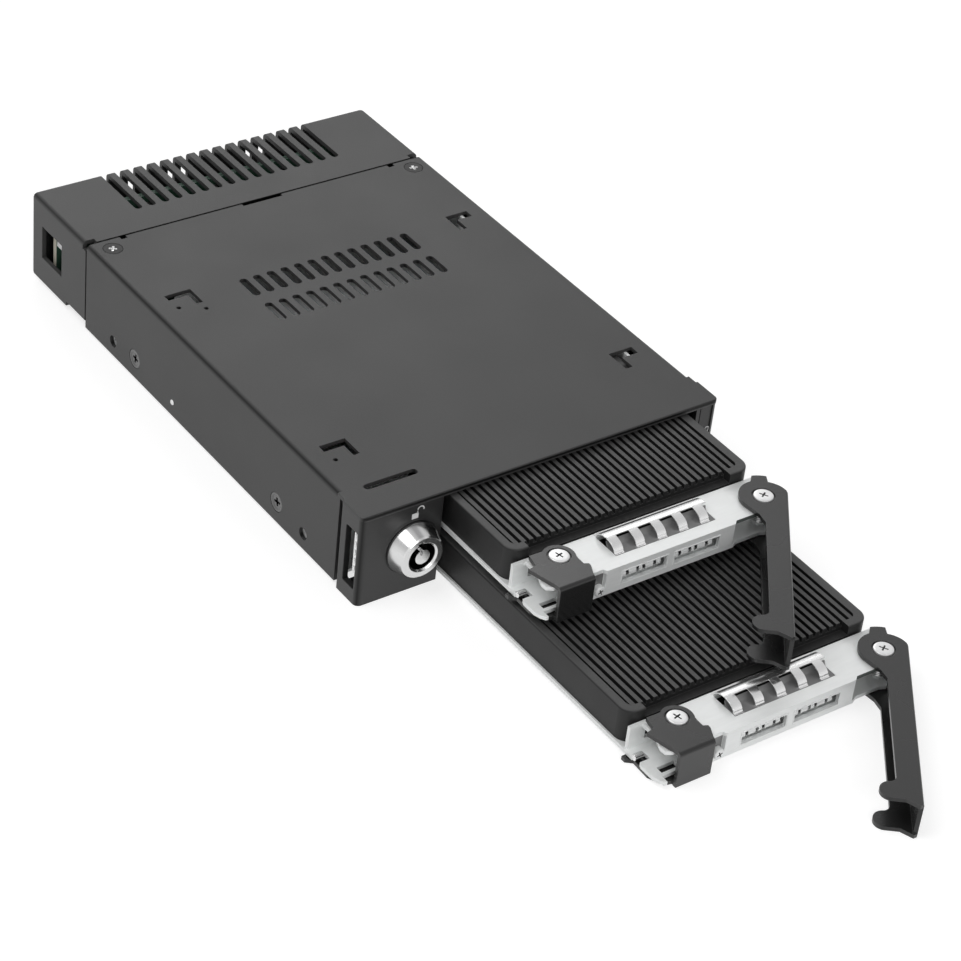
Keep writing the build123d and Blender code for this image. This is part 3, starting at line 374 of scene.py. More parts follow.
ZINC = {
    "level": 248, "roughness": 0.42, "cloud": 0.08, "rolled": (0.15, 1, 1), "tint": (0.985, 1.0, 0.995),
    "metallic": 0.2, "grain": 0.000001,
}
zinc = bright("zinc_sheet", **ZINC)
bracket_zinc = bright("bracket_zinc", dark_reflection_from=27.7 * MM, **ZINC)
sprung = bright("spring_nickel", 226, roughness=0.20, cloud=0.08, metallic=0.92, grain=0.000001)
spring_steel = bright("spring_steel", 224, roughness=0.16, cloud=0.10)
nickel = bright("nickel_screw", 236, roughness=0.36, cloud=0.08, metallic=0.6)
# A darker copy of the steel, for painted shade in the bracket's recess and in the comb's slot.
shaded_steel = bright("shaded_steel", 128, roughness=0.42, cloud=0.14, metallic=0.5)
dark_screw = bright("dark_screw", 36, roughness=0.34, cloud=0.10)
grey_screw = bright("grey_screw", 104, roughness=0.30, cloud=0.10, metallic=0.8)
recess_shadow = bright("recess_shadow", 62, roughness=0.5, cloud=0.20, metallic=0.4)
recess_glint = bright("recess_glint", 240, roughness=0.30, cloud=0.10, metallic=0.5)
print("bright finishes:", zinc.name, spring_steel.name, nickel.name, dark_screw.name, grey_screw.name)


# %% [markdown]
# ## The lock's chrome
# The lock is polished, but the ring-shaped key well between its face and its centre post is deep, and
# painted shade makes it almost black. The distance from the lock's axis tells the two apart.

# %% Chrome with a dark key well
LOCK_X, LOCK_Z = -36.9, 12.6
WELL_INNER, WELL_OUTER = 2.0, 3.5


def lock_finish(name):
    finish = Finish(name)
    scratches = finish.noise(700, 3.0, finish.stretched(1, 0.2, 1))
    flow = finish.noise(120, 1.0)
    from_axis = {0: finish.place(), 1: (LOCK_X * MM, 0, LOCK_Z * MM)}
    middle = finish.node("ShaderNodeVectorMath", {"operation": "SUBTRACT"}, from_axis)
    flat = finish.node("ShaderNodeVectorMath", {"operation": "MULTIPLY"}, {0: middle, 1: (1, 0, 1)})
    radius = finish.node("ShaderNodeVectorMath", {"operation": "LENGTH"}, {0: flat}, out="Value")
    # The key well, which gets painted shade: near black and rougher.
    past_post = radius.between(WELL_INNER * MM, (WELL_INNER + 0.1) * MM)
    well = past_post * (1 - radius.between(WELL_OUTER * MM, (WELL_OUTER + 0.12) * MM))
    metal = finish.toned(shade(214), (flow - 0.5) * 0.10 + 1.0)
    return finish.surface({
        "Base Color": finish.mixed(well, metal, shade(28)),
        "Metallic": 1.0,
        "Roughness": (scratches - 0.5) * 0.10 + well * 0.35 + 0.19,
        "Normal": finish.bumped(scratches, 0.000004, 0.0002),
    })


chrome = lock_finish("lock_chrome")
print("lock finish:", chrome.name)


# %% [markdown]
# ## Boards and plastics
# Circuit boards show copper tracks through green resist. A brick texture of long thin cells makes
# believable tracks, and a noise keeps the resist from looking flat.

# %% Board, plug plastic, chip and pad
def board_finish(name, level, tint):
    finish = Finish(name)
    tracks = finish.node(
        "ShaderNodeTexBrick", {"offset": 0.35, "squash": 1.0},
        {"Vector": finish.place(), "Scale": 260.0, "Mortar Size": 0.12,
         "Brick Width": 3.2, "Row Height": 0.35},
        out="Fac",
    )
    patch = finish.noise(300)
    bare_edge = finish.facing("X").between(0.5, 0.6)
    resist = finish.mixed(tracks * 0.8, shade(level, tint), shade(level + 34, tint))
    return finish.surface({
        "Base Color": finish.mixed(bare_edge, resist, shade(206, (1.0, 0.95, 0.80))),
        "Roughness": (patch - 0.5) * 0.2 + 0.38,
        "Normal": finish.bumped(tracks, 0.00002),
    })


def moulded(name, level, roughness, tint=(1, 1, 1)):
    finish = Finish(name)
    fine = finish.noise(1900)
    return finish.surface({
        "Base Color": finish.toned(shade(level, tint), (fine - 0.5) * 0.2 + 1.0),
        "Roughness": (fine - 0.5) * 0.1 + roughness,
        "Specular IOR Level": 0.4,
        "Normal": finish.bumped(fine, 0.000008, 0.00012),
    })


board_green = board_finish("board_green", 74, (0.42, 1.0, 0.68))
plug_plastic = moulded("plug_plastic", 44, 0.5)
chip_plastic = moulded("chip_plastic", 52, 0.42)
pad_rubber = moulded("pad_rubber", 150, 0.8, (0.95, 0.97, 1.0))
smoke_plastic = moulded("smoke_plastic", 40, 0.16)
cream_plastic = moulded("cream_plastic", 214, 0.5, (1.0, 0.97, 0.86))
white_plastic = moulded("white_plastic", 244, 0.45)
ink = moulded("mark_ink", 226, 0.6)
print("board and plastic finishes ready")


# %% [markdown]
# ## Dress the solids
# Each solid keeps its shape and only gets a finish. The record says which slot every node uses, so
# one table from slot to material reaches all of them. The two lids and the two brackets have finishes
# of their own.

# %% Give each node its material
slot_finish = {
    "cover_paint": cover_coat, "housing_paint": housing_coat, "bezel_paint": bezel_coat,
    "handle_paint": handle_coat, "zinc_plate": zinc, "spring_steel": spring_steel,
    "lock_chrome": chrome, "bright_screw": nickel, "black_screw": dark_screw,
    "board_green": board_green, "socket_plastic": plug_plastic, "smoke_plastic": smoke_plastic,
    "chip_black": chip_plastic, "pad_grey": pad_rubber,
}
node_slot = {part["node"]: part["material_slot"] for part in frame["record"]["subparts"]}
for node_name, node_object in frame["nodes"].items():
    slot_name = node_slot[node_name]
    if slot_name == "lid_anodised":
        finish = lid_finishes[node_name.split("_")[0]]
    elif node_name.endswith("_bracket"):
        finish = bracket_zinc
    else:
        finish = slot_finish[slot_name]
    node_object.data.materials.clear()
    node_object.data.materials.append(finish)
print("dressed", len(node_slot), "nodes")


# %% [markdown]
# ## Making small pieces
# New pieces are built as meshes in the frame's own coordinates. Three helpers cover most of them: one
# wraps a finished bmesh as an object, one turns a profile about an axis, and one stacks outlines.

# %% From a mesh to a piece
PIECE_SMOOTH, PUNCHED_SMOOTH = 30, 28
SCREW_STEPS, SMALL_STEPS = 40, 24
RIGHTWARDS, FORWARDS, UPWARDS, DOWNWARDS = (1, 0, 0), (0, -1, 0), (0, 0, 1), (0, 0, -1)


def in_scene(name, data):
    """An object in the scene, made from its data."""
    made = bpy.data.objects.new(name, data)
    bpy.context.scene.collection.objects.link(made)
    return made


def smoothed(data, angle):
    """Shades a mesh smoothly, apart from edges sharper than an angle in degrees."""
    for face in data.polygons:
        face.use_smooth = True
    data.set_sharp_from_angle(angle=math.radians(angle))


def finish_piece(name, mesh, material, body):
    """Makes the object, gives it its finish and lets it ride on its body."""
    data = bpy.data.meshes.new(name)
    bmesh.ops.recalc_face_normals(mesh, faces=mesh.faces)
    mesh.to_mesh(data)
    mesh.free()
    piece = in_scene(name, data)
    data.materials.append(material)
    smoothed(data, PIECE_SMOOTH)
    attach(piece, body)
    return piece


print("a mesh can now become a piece")


# %% Turned and stacked meshes
def aimed(centre, direction, turn=0.0):
    """A matrix whose Z points along a direction, from a centre in metres."""
    rotation = Vector(direction).to_track_quat("Z", "Y").to_matrix().to_4x4()
    return Matrix.Translation(centre) @ rotation @ Matrix.Rotation(turn, 4, "Z")


def upright(centre):
    """A matrix for outlines of (x, height) on a face that looks to the front."""
    return Matrix.Translation(centre) @ Matrix.Rotation(math.radians(90), 4, "X")


def arc(x, y, radius, degrees, tall=None):
    """Points round a centre, at a range of degrees; tall is a second radius for an oval."""
    tall = radius if tall is None else tall
    turns = [math.radians(angle) for angle in degrees]
    return [(x + radius * math.cos(turn), y + tall * math.sin(turn)) for turn in turns]


def add_ring(mesh, outline, height, matrix):
    """The corners of an outline of (x, y) millimetres at a height."""
    return [mesh.verts.new(matrix @ (Vector((x, y, height)) * MM)) for x, y in outline]


def add_walls(mesh, low, high):
    """The faces between two rings of corners."""
    for index in range(len(low)):
        after = (index + 1) % len(low)
        mesh.faces.new((low[index], low[after], high[after], high[index]))


def add_turned(mesh, profile, matrix, steps):
    """Turns a closed profile of (radius, height) in millimetres about Z."""
    rings = []
    for step in range(steps):
        angle = 2 * math.pi * step / steps
        ring = []
        for radius, height in profile:
            local = Vector((radius * math.cos(angle), radius * math.sin(angle), height)) * MM
            ring.append(mesh.verts.new(matrix @ local))
        rings.append(ring)
    for step in range(steps):
        ring, following = rings[step], rings[(step + 1) % steps]
        for index in range(len(profile) - 1):
            mesh.faces.new((ring[index], following[index], following[index + 1], ring[index + 1]))
    bmesh.ops.remove_doubles(mesh, verts=mesh.verts, dist=1e-7)


def add_slab(mesh, outline, low, high, matrix):
    """A plate from an outline of (x, y) millimetres between two heights."""
    bottom = add_ring(mesh, outline, low, matrix)
    top = add_ring(mesh, outline, high, matrix)
    mesh.faces.new(reversed(bottom))
    mesh.faces.new(top)
    add_walls(mesh, bottom, top)


def rectangle(width, depth, x=0.0, y=0.0):
    """The four corners of a rectangle about a centre."""
    corners = ((-1, -1), (1, -1), (1, 1), (-1, 1))
    return [(x + sx * width / 2, y + sy * depth / 2) for sx, sy in corners]


print("mesh helpers ready")


# %% [markdown]
# ## Screws
# Screw heads catch the light, so their drives are real recesses. The head is a turned dome, and a
# cross of two tapered bars is taken out of it with a Boolean modifier, as a punch would form it.

# %% Cut a cross drive into screws
PUNCH_TOP = 0.6
TIP_LENGTH, TIP_WIDTH = 0.55, 0.7


def cross_recess(matrix, inner, size, depth, width):
    """The punch: two crossed bars that narrow downwards, in the finish of the recess."""
    mesh = bmesh.new()
    outline = [
        (size, -width), (size, width), (width, width), (width, size), (-width, size), (-width, width),
        (-size, width), (-size, -width), (-width, -width), (-width, -size), (width, -size), (width, -width),
    ]
    top = add_ring(mesh, outline, PUNCH_TOP, matrix)
    bottom = add_ring(mesh, [(x * TIP_LENGTH, y * TIP_WIDTH) for x, y in outline], -depth, matrix)
    mesh.faces.new(top)
    mesh.faces.new(reversed(bottom))
    add_walls(mesh, bottom, top)
    bmesh.ops.recalc_face_normals(mesh, faces=mesh.faces)
    data = bpy.data.meshes.new("punch")
    mesh.to_mesh(data)
    mesh.free()
    data.materials.append(inner)
    return in_scene("punch", data)


def punched(piece, punches):
    """Takes each punch out of the piece and keeps the result as its mesh."""
    for punch in punches:
        cut = piece.modifiers.new("drive", "BOOLEAN")
        cut.operation = "DIFFERENCE"
        cut.solver = "EXACT"
        cut.material_mode = "TRANSFER"
        cut.object = punch
    graph = bpy.context.evaluated_depsgraph_get()
    result = bpy.data.meshes.new_from_object(piece.evaluated_get(graph))
    piece.modifiers.clear()
    piece.data = result
    smoothed(result, PUNCHED_SMOOTH)
    for punch in punches:
        bpy.data.objects.remove(punch, do_unlink=True)


def screws(name, places, kind, material, inner, body):
    """Screws of one kind, at places given as (centre, direction, turn)."""
    mesh = bmesh.new()
    for place in places:
        add_turned(mesh, kind["profile"], aimed(*place), SCREW_STEPS)
    piece = finish_piece(name, mesh, material, body)
    punched(piece, [cross_recess(aimed(*place), inner, **kind["drive"]) for place in places])
    return piece


print("a screw's drive narrows to", TIP_LENGTH, "of its size")


# %% Pivot screws of the levers and latches
LEVER_PIVOT, LATCH_PIVOT = (39.2, 5.8), (-17.0, 10.0)
PIVOT_TOP = 8.5
PIVOT_SCREW = {
    "profile": [(0, -9.65), (1.0, -9.65), (1.1, -9.55), (1.1, -0.6), (2.45, -0.6), (2.45, -0.34),
                (2.38, -0.14), (2.2, -0.03), (1.9, 0.0), (0, 0.0)],
    "drive": {"size": 1.35, "depth": 0.5, "width": 0.24},
}
for tray in TRAYS:
    heads = [
        (on_tray(tray, *LEVER_PIVOT, PIVOT_TOP), UPWARDS, 0.55),
        (on_tray(tray, *LATCH_PIVOT, PIVOT_TOP), UPWARDS, 0.25),
    ]
    dressed = screws(tray["name"] + "_pivot_screw_heads", heads, PIVOT_SCREW, nickel, recess_shadow,
                     tray["name"] + "_tray")
    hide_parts(tray["name"] + "_pivot_screws")
print("pivot screws:", 2 * len(TRAYS))


# %% Recess screw and under screws of each tray
RECESS_SCREW = {
    "profile": [(0, -1.55), (1.35, -1.55), (1.4, -1.5), (1.4, -0.5), (1.32, -0.16), (1.0, 0.0), (0, 0.0)],
    "drive": {"size": 0.95, "depth": 0.5, "width": 0.2},
}
UNDER_SCREW = {
    "profile": [(0, -0.95), (0.86, -0.95), (0.86, -0.1), (0.78, 0.0), (0, 0.0)],
    "drive": {"size": 0.5, "depth": 0.3, "width": 0.12},
}
RECESS_SHADE_SHEET = rectangle(4.6, 5.0, -12.0, 4.0)
UNDER_PLACES = [(x, depth) for x in (-23.7, 38.9) for depth in (18.0, 112.4)]


def on_bracket(tray):
    """A matrix for outlines of (x, height) on the front of a tray's bracket."""
    return upright(on_tray(tray, 0, 1.5, 0))


for tray in TRAYS:
    body = tray["name"] + "_tray"
    # A dark steel sheet just in front of the recess in the bracket: painted shade in the recess.
    shade_sheet = bmesh.new()
    add_slab(shade_sheet, RECESS_SHADE_SHEET, -1.15, -1.05, on_bracket(tray))
    finish_piece(tray["name"] + "_recess_shade_sheet", shade_sheet, shaded_steel, body)
    recess_place = (on_tray(tray, -11.05, 1.02, 1.75), FORWARDS, 0.4)
    front_screw = screws(tray["name"] + "_recess_screw", [recess_place], RECESS_SCREW, zinc, recess_shadow,
                         body)
    under_places = [(on_tray(tray, x, depth, 0.02), DOWNWARDS, 0.3 + x) for x, depth in UNDER_PLACES]
    under_screws = screws(tray["name"] + "_under_screws", under_places, UNDER_SCREW, nickel, recess_shadow,
                          body)
    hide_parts(tray["name"] + "_tray_screws")
    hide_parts(tray["name"] + "_tray_screws")
print("tray screws:", (1 + len(UNDER_PLACES)) * len(TRAYS))


# %% Countersunk screws of the housing
COVER_SCREW = {
    "profile": [(0, -3.0), (1.2, -3.0), (1.2, -0.98), (1.65, -0.98), (2.48, -0.04), (2.44, 0.0), (0, 0.0)],
    "drive": {"size": 1.35, "depth": 0.6, "width": 0.4},
}
SIDE_SCREW = {
    "profile": [(0, -2.5), (1.2, -2.5), (1.2, -0.98), (1.65, -0.98), (2.48, -0.12), (2.4, -0.02),
                (2.2, 0.0), (2.0, -0.05), (1.8, -0.24), (0, -0.24)],
    "drive": {"size": 1.5, "depth": 0.9, "width": 0.42},
}
SIDE_FACE = 50.78
SIDES = (-1, 1)
cover_places = [(at(side * 45.6, 124.3, 25.38), UPWARDS, 0.4 + side) for side in SIDES]
cover_heads = screws("cover_screw_heads", cover_places, COVER_SCREW, dark_screw, recess_glint,
                     "cage")
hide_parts("cover_screws")
side_places = [
    (at(side * SIDE_FACE, depth, 6.3), (side, 0, 0), 0.3 + depth)
    for side in SIDES for depth in (36.0, 103.2)
]
# Their drives are in the dark screw finish: painted shade in the recess.
side_heads = screws("side_screw_heads", side_places, SIDE_SCREW, grey_screw, dark_screw,
                    "cage")
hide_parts("side_screws")
print("housing screws:", len(cover_places) + len(side_places))


# %% [markdown]
# ## Return springs
# The solids hold a ribbed sleeve where each lever and latch has a coiled spring. The real thing is a
# wire wound round a post, so it is drawn as a spiral curve with thickness.

# %% Wind the springs
COIL_RADIUS, COIL_WIRE, COIL_PITCH, COIL_FOOT = 2.25, 0.2, 0.48, 1.9
COIL_TURNS, STEPS_A_TURN, FIRST_ANGLE = 5, 16, 1.0


def coil(name, centre, tail, body):
    """A wound wire that starts above a centre and ends in a short straight tail."""
    curve = bpy.data.curves.new(name, "CURVE")
    curve.dimensions = "3D"
    curve.bevel_depth = COIL_WIRE * MM
    curve.bevel_resolution = 3
    points = []
    for step in range(COIL_TURNS * STEPS_A_TURN + 1):
        angle = 2 * math.pi * step / STEPS_A_TURN + FIRST_ANGLE
        z = COIL_FOOT + COIL_PITCH * step / STEPS_A_TURN
        around = Vector((COIL_RADIUS * math.cos(angle), COIL_RADIUS * math.sin(angle), z))
        points.append(centre + around * MM)
    points.append(points[-1] + Vector((*tail, 0)) * MM)
    line = curve.splines.new("POLY")
    line.points.add(len(points) - 1)
    for index, point in enumerate(points):
        line.points[index].co = (*point, 1)
    curve.materials.append(spring_steel)
    piece = in_scene(name, curve)
    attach(piece, body)
    return piece


for tray in TRAYS:
    body = tray["name"] + "_tray"
    lever_coil = coil(tray["name"] + "_lever_coil", on_tray(tray, *LEVER_PIVOT, 0), (-1.2, 2.4), body)
    latch_coil = coil(tray["name"] + "_latch_coil", on_tray(tray, *LATCH_PIVOT, 0), (-2.0, 1.4), body)
    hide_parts(tray["name"] + "_return_springs")
    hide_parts(tray["name"] + "_return_springs")
print("springs wound:", 2 * len(TRAYS))


# %% [markdown]
# ## Contact springs
# A comb of bowed fingers rises out of the slot in each tray's bracket, and paler, matt leaves stand
# behind its two windows. Both are stamped from thin strip, so one helper gives any bent line a
# thickness and another runs that outline across the tray.

# %% Bent strips
def ribbon(line, thickness):
    """The outline of a strip whose middle follows a line of points."""
    left, right = [], []
    for index, (x, y) in enumerate(line):
        before, after = line[max(index - 1, 0)], line[min(index + 1, len(line) - 1)]
        along = Vector((after[0] - before[0], after[1] - before[1])).normalized()
        left.append((x - along.y * thickness / 2, y + along.x * thickness / 2))
        right.append((x + along.y * thickness / 2, y - along.x * thickness / 2))
    return left + right[::-1]


def across(tray):
    """A matrix for outlines of (depth, height) that are run from left to right."""
    turn = Matrix(((0, 0, 1, 0), (1, 0, 0, 0), (0, 1, 0, 0), (0, 0, 0, 1)))
    return Matrix.Translation(on_tray(tray, 0, 0, 0)) @ turn


def bow(first, last, steps):
    """Points on the bow between two angles; 0 is its rear foot and 180 its front foot."""
    degrees = [first + (last - first) * step / steps for step in range(steps + 1)]
    return arc(9.4, 6.9, 3.6, degrees, 2.2)


print("the bow is highest at", [round(number, 2) for number in bow(0, 180, 2)[1]])


# %% Bend the combs
COMB_STRIP, THIN_STRIP = 0.3, 0.2
SLOT_LEFT, SLOT_RIGHT = -4.4, 24.4
COMB_SHELL = ribbon([(13.8, 7.15)] + bow(4, 92, 16), COMB_STRIP)
COMB_FINGER = ribbon(bow(90, 170, 14) + [(5.6, 6.97), (5.15, 6.95)], COMB_STRIP)
LEDGE_LINE = [(5.05, 6.7), (5.4, 6.86), (7.9, 6.86), (8.5, 7.1), (8.95, 7.7), (9.2, 8.4)]
COMB_LEDGE = ribbon(LEDGE_LINE, THIN_STRIP)
FINGERS = [-3.15 + 6.2 * index for index in range(5)]
FINGER_HALF = 1.25


def comb_and_ledge(tray, body):
    comb, ledge = bmesh.new(), bmesh.new()
    add_slab(comb, COMB_SHELL, SLOT_LEFT, SLOT_RIGHT, across(tray))
    for middle in FINGERS:
        add_slab(comb, COMB_FINGER, middle - FINGER_HALF, middle + FINGER_HALF, across(tray))
    add_slab(ledge, COMB_LEDGE, SLOT_LEFT, SLOT_RIGHT, across(tray))
    return [
        finish_piece(tray["name"] + "_comb", comb, sprung, body),
        # The ledge in the slot is in the darker steel: painted shade.
        finish_piece(tray["name"] + "_comb_ledge", ledge, shaded_steel, body),
    ]


print("a comb has", len(FINGERS), "fingers")


# %% Stamp the leaves behind the windows
WINDOW_STARTS = (-4.7, 10.4)
WINDOW_HEIGHTS = (1.8, 5.1)
LEAF_WIDTHS = (1.1, 2.1, 0.9, 2.3, 1.2)
FIRST_LEAF, LEAF_GAP = 0.35, 0.85
LEAF_LINE = [(4.6, 1.3), (3.2, 2.0), (2.35, 2.9), (2.25, 3.5), (2.6, 4.3), (3.9, 5.2), (4.6, 5.5)]
LEAF = ribbon(LEAF_LINE, THIN_STRIP)
LEAF_BACK = [(4.55, 1.05), (4.75, 1.05), (4.75, 5.6), (4.55, 5.6)]


def add_rim(mesh, sides, heights, width, proud, matrix):
    """A raised frame round a window, from its left and right sides and its heights."""
    rings = []
    for grow, level in ((0, 0), (width, 0), (width * 0.8, proud), (width * 0.2, proud)):
        left, right = sides[0] - grow, sides[1] + grow
        low, high = heights[0] - grow, heights[1] + grow
        corners = [(left, low), (right, low), (right, high), (left, high)]
        rings.append(add_ring(mesh, corners, level, matrix))
    for index in range(4):
        add_walls(mesh, rings[index], rings[(index + 1) % 4])


def leaves_and_rims(tray, body):
    leaves, backs, rims = bmesh.new(), bmesh.new(), bmesh.new()
    for start in WINDOW_STARTS:
        add_slab(backs, LEAF_BACK, start - 0.4, start + 12.9, across(tray))
        for index, width in enumerate(LEAF_WIDTHS):
            leaf_left = start + FIRST_LEAF + sum(LEAF_WIDTHS[:index]) + LEAF_GAP * index
            add_slab(leaves, LEAF, leaf_left, leaf_left + width, across(tray))
        add_rim(rims, (start - 0.2, start + 12.75), WINDOW_HEIGHTS, 0.3, 0.14, on_bracket(tray))
    behind = [
        finish_piece(tray["name"] + "_leaves", leaves, zinc, body),
        finish_piece(tray["name"] + "_leaf_backs", backs, recess_shadow, body),
    ]
    finish_piece(tray["name"] + "_window_rims", rims, zinc, body)
    return behind


print("leaves behind a bracket:", len(LEAF_WIDTHS) * len(WINDOW_STARTS))


# %% Fit springs and hem to both trays
HEM_PROFILE = [(0, 0), (0.6, 0), (0.78, 0.15), (0.78, 2.45), (0.6, 2.6), (0, 2.6)]
for tray in TRAYS:
    body = tray["name"] + "_tray"
    for piece in comb_and_ledge(tray, body) + leaves_and_rims(tray, body):
        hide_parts(tray["name"] + "_contact_springs")
    hem = bmesh.new()
    add_turned(hem, HEM_PROFILE, aimed(on_tray(tray, -27.75, 10.3, 0.85), RIGHTWARDS), SMALL_STEPS)
    finish_piece(tray["name"] + "_rolled_hem", hem, sprung, body)
print("trays with contact springs:", len(TRAYS))


# %% [markdown]
# ## The housing's side
# A ribbed strip of spring steel lies behind the window in the bezel's side, and touches the computer's
# bay there. A small bright nub stands out low on each side of the housing.

# %% Contact strip of the side window, and nubs
STRIP_DEPTH = 3.3
to_the_left = Matrix(((0, 0, -1, 0), (1, 0, 0, 0), (0, 1, 0, 0), (0, 0, 0, 1)))
window_side = Matrix.Translation(at(-50.1, 0, 0)) @ to_the_left
strip = bmesh.new()
upper_end = arc(STRIP_DEPTH, 18.9, 0.65, range(0, 181, 20))
lower_end = arc(STRIP_DEPTH, 8.5, 0.65, range(180, 361, 20))
add_slab(strip, upper_end + lower_end, 0.0, 0.35, window_side)
for step in range(5):
    rib = arc(STRIP_DEPTH, 9.1 + 2.3 * step, 0.34, range(0, 360, 30), 0.8)
    add_slab(strip, rib, 0.3, 0.5, window_side)
strip_piece = finish_piece("window_strip", strip, spring_steel, "cage")
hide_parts("grounding_spring")
NUB_PROFILE = [(0, 0), (0.75, 0), (0.66, 0.18), (0.42, 0.32), (0, 0.38)]
nubs = bmesh.new()
for side in SIDES:
    add_turned(nubs, NUB_PROFILE, aimed(at(side * SIDE_FACE, 84.5, 4.7), (side, 0, 0)), SMALL_STEPS)
finish_piece("side_nubs", nubs, nickel, "cage")
print("window strip and side nubs placed")


# %% [markdown]
# ## Printed marks
# A white numeral beside each bay and an open padlock above the key lock are printed on the bezel.
# They are thin plates, a few hundredths of a millimetre proud, so they have an edge in any light.

# %% Numerals
NUMERAL_X, NUMERAL_SIZE = 49.2, 3.6


def numeral(text, z):
    curve = bpy.data.curves.new("numeral_" + text, "FONT")
    curve.body = text
    curve.size = NUMERAL_SIZE * MM
    curve.align_x = "CENTER"
    curve.extrude = 0.00001
    curve.materials.append(ink)
    piece = in_scene("numeral_" + text, curve)
    piece.location = at(NUMERAL_X, 0.288, z)
    piece.rotation_euler = (math.radians(90), 0, 0)
    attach(piece, "cage")


numeral("2", 15.6)
numeral("1", 3.4)
print("numerals printed")


# %% Open padlock
INK_THICKNESS = 0.02
SHACKLE_CENTRE = (-35.25, 22.7)
front_face = upright(at(0, 0.3, 0))
mark = bmesh.new()
add_slab(mark, rectangle(1.8, 1.5, -36.7, 21.2), 0.0, INK_THICKNESS, front_face)
outer, inner = (arc(*SHACKLE_CENTRE, radius, range(-20, 201, 20)) for radius in (1.0, 0.68))
for index in range(len(outer) - 1):
    quad = [inner[index], outer[index], outer[index + 1], inner[index + 1]]
    add_slab(mark, quad, 0.0, INK_THICKNESS, front_face)
add_slab(mark, rectangle(0.32, 0.9, -36.09, 22.3), 0.0, INK_THICKNESS, front_face)
finish_piece("padlock_mark", mark, ink, "cage")
print("padlock printed")


# %% [markdown]
# ## Circuit board parts
# Small parts on the rear board show through the vents and the side window: chips, tall capacitors, a
# cream connector and a white one. They stand on the board's own face. A black film inside the rear
# wall is painted shade: it lets the light through at only a few of the rear slots, as in the photograph.

# %% Populate the rear board
CHIPS = (  # x, height of the middle, width, height and thickness
    (-30, 8, 9, 6, 1.4), (-12, 7, 7, 7, 1.2), (10, 8, 12, 5, 1.6), (27, 8, 6, 6, 1.2),
    (-22, 18, 5, 3, 1.0), (2, 18, 8, 3, 1.0), (20, 18, 5, 3, 1.0),
)
CAN_PROFILE = [(0, 0), (1.9, 0), (1.9, 4.6), (1.6, 5.0), (0, 5.0)]
CANS = (-26, -17, -4, 6, 15, 25)
rear_face = upright(at(0, 148.5, 0))
parts = bmesh.new()
for x, z, width, height, thick in CHIPS:
    add_slab(parts, rectangle(width, height, x, z), 0.0, thick, rear_face)
finish_piece("rear_board_chips", parts, chip_plastic, "cage")
cans = bmesh.new()
for x in CANS:
    foot = at(x, 134 + x % 5, 13.6)
    add_turned(cans, CAN_PROFILE, Matrix.Translation(foot), SMALL_STEPS)
finish_piece("capacitors", cans, nickel, "cage")
header = bmesh.new()
add_slab(header, rectangle(2.4, 9.0, -43.6, 13.2), 0.0, 4.2, rear_face)
finish_piece("cream_connector", header, cream_plastic, "cage")
white_part = bmesh.new()
add_slab(white_part, rectangle(1.6, 2.2, -47.4, 14.4), 0.0, 3.1, rear_face)
finish_piece("white_header", white_part, white_plastic, "cage")
print("on the rear board:", len(CHIPS), "chips,", len(CANS), "capacitors and two connectors")


# %% Film inside the rear wall
FILM_RUNS = ((-46.0, -23.8), (-20.4, -11.8), (-3.3, 12.3), (20.3, 46.0))
inside_wall = upright(at(0, 156.4, 0))
# Dark sheets behind the rear slots: painted shade.
film = bmesh.new()
for left, right in FILM_RUNS:
    add_slab(film, rectangle(right - left, 9.0, (left + right) / 2, 18.9), 0.0, 0.4, inside_wall)
finish_piece("slot_shade_film", film, plug_plastic, "cage")
print("film in", len(FILM_RUNS), "runs")


# %% [markdown]
# ## Floor, light and background
# A pale floor and an even, soft studio light: a large lamp high on the left for shape, two weaker ones
# from the front and the back, and a plain world. The background is white by its own colour, not by
# more light. The world has a few darker patches, which only reflections show, to give bright metal
# something to mirror.

# %% Lamps
def lamp(name, place, target, size, power):
    data = bpy.data.lights.new(name, "AREA")
    data.shape = "RECTANGLE"
    data.size, data.size_y = size
    data.energy = power
    holder = in_scene(name, data)
    holder.location = place
    direction = Vector(target) - Vector(place)
    holder.rotation_euler = direction.to_track_quat("-Z", "Y").to_euler()


lamp("key_lamp", (-0.68, 0.12, 1.2), target=(0, -0.05, 0), size=(0.9, 0.9), power=6.3)
lamp("fill_lamp", (-0.2, -1.3, 0.7), target=(0, -0.05, 0), size=(1.0, 0.6), power=5.6)
lamp("back_lamp", (0.5, 1.1, 0.9), target=(0, 0, 0), size=(0.8, 0.6), power=3.5)
print("lamps:", bpy.data.lights.keys())


# %% Floor
def white_to_the_eye(finish, seen, lit):
    """A shader that is white to the camera and in reflections, and plain for light."""
    eye = finish.node("ShaderNodeLightPath", out="Is Camera Ray")
    gloss = finish.node("ShaderNodeLightPath", out="Is Glossy Ray")
    glass = finish.node("ShaderNodeLightPath", out="Is Transmission Ray")
    seen_by = eye.or_more(gloss).or_more(glass)
    return finish.node("ShaderNodeMixShader", None, {0: seen_by, 1: lit, 2: seen})


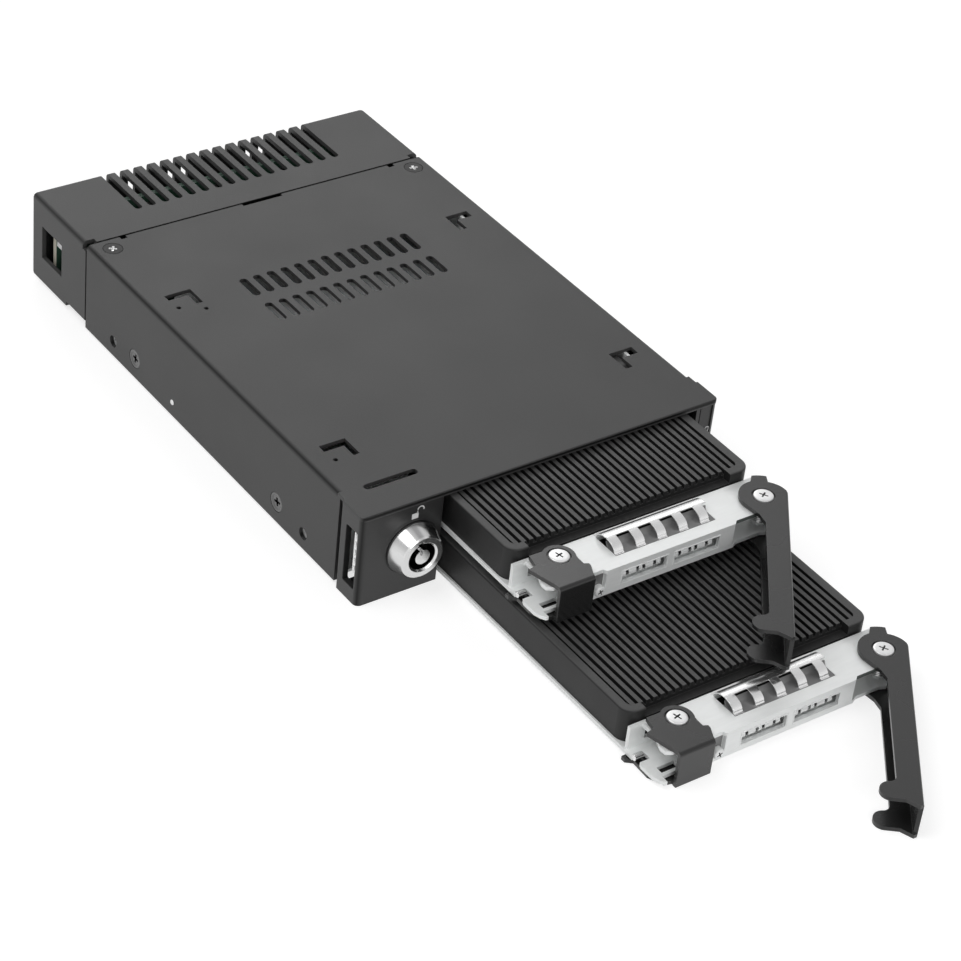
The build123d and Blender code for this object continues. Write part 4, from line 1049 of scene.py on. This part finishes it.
floor = bmesh.new()
bmesh.ops.create_grid(floor, x_segments=1, y_segments=1, size=4.0)
floor_data = bpy.data.meshes.new("floor")
floor.to_mesh(floor_data)
floor.free()
floor_object = in_scene("floor", floor_data)
floor_object.location = (0, 0, -0.00005)
floor_finish = Finish("floor_paper")
paper = floor_finish.node("ShaderNodeBsdfDiffuse", None, {"Color": (0.8, 0.8, 0.8, 1)})
thin_paper = floor_finish.node("ShaderNodeBsdfDiffuse", None, {"Color": (0.45, 0.45, 0.45, 1)})
glow = floor_finish.node("ShaderNodeEmission", None, {"Color": (1, 1, 1, 1), "Strength": 0.72})
both = floor_finish.node("ShaderNodeAddShader", None, {0: thin_paper, 1: glow})
floor_shader = white_to_the_eye(floor_finish, both, paper)
floor_finish.node("ShaderNodeOutputMaterial", None, {"Surface": floor_shader})
floor_data.materials.append(floor_finish.material)
print("floor laid")


# %% World
class Sky(Finish):
    """The world's nodes, made with the same method as a material's."""

    def __init__(self):
        world = bpy.data.worlds.new("studio")
        bpy.context.scene.world = world
        world.use_nodes = True
        self.tree = world.node_tree
        self.tree.nodes.clear()


sky = Sky()
ray = sky.node("ShaderNodeTexCoord", out="Generated")
height = sky.node("ShaderNodeSeparateXYZ", None, {0: ray}, out="Z")
bands = {"Vector": ray, "Scale": 0.55, "Distortion": 1.5}
panels = sky.node("ShaderNodeTexWave", {"wave_type": "BANDS"}, bands)
overhead = height.between(0.45, 0.95) * 0.35
dim = overhead + panels.between(0.1, 0.5) * height.between(0.15, 0.4) * 0.3
backdrop = sky.mixed(dim, (1, 1, 1, 1), (0.12, 0.12, 0.13, 1))
plain = sky.node("ShaderNodeBackground", None, {"Color": (1, 1, 1, 1), "Strength": 0.3})
white = sky.node("ShaderNodeBackground", None, {"Color": backdrop, "Strength": 1.0})
sky.node("ShaderNodeOutputWorld", None, {"Surface": white_to_the_eye(sky, white, plain)})
print("studio lit")


# %% [markdown]
# ## Camera
# The photograph is taken from the upper left with a long lens, tilted a few degrees. The numbers come
# from fitting the housing's edges, so the camera is set by its axes and not by a target.

# %% Camera
RIGHT = Vector((0.81668872, -0.56962101, 0.09247401))
UP = Vector((0.27720378, 0.52777934, 0.80287423))
BACK = Vector((-0.5061399, -0.63006418, 0.58893253))
camera_data = bpy.data.cameras.new("camera")
camera_data.sensor_width = 36.0
camera_data.lens = 110.5996
camera_data.clip_start = 0.01
camera = in_scene("camera", camera_data)
place = at(-361.76589, -426.4145, 423.98778)
camera.matrix_world = Matrix((
    (RIGHT.x, UP.x, BACK.x, place.x),
    (RIGHT.y, UP.y, BACK.y, place.y),
    (RIGHT.z, UP.z, BACK.z, place.z),
    (0, 0, 0, 1),
))
bpy.context.scene.camera = camera
bpy.context.scene.view_settings.view_transform = "Standard"
print("camera at", [round(v, 3) for v in place])
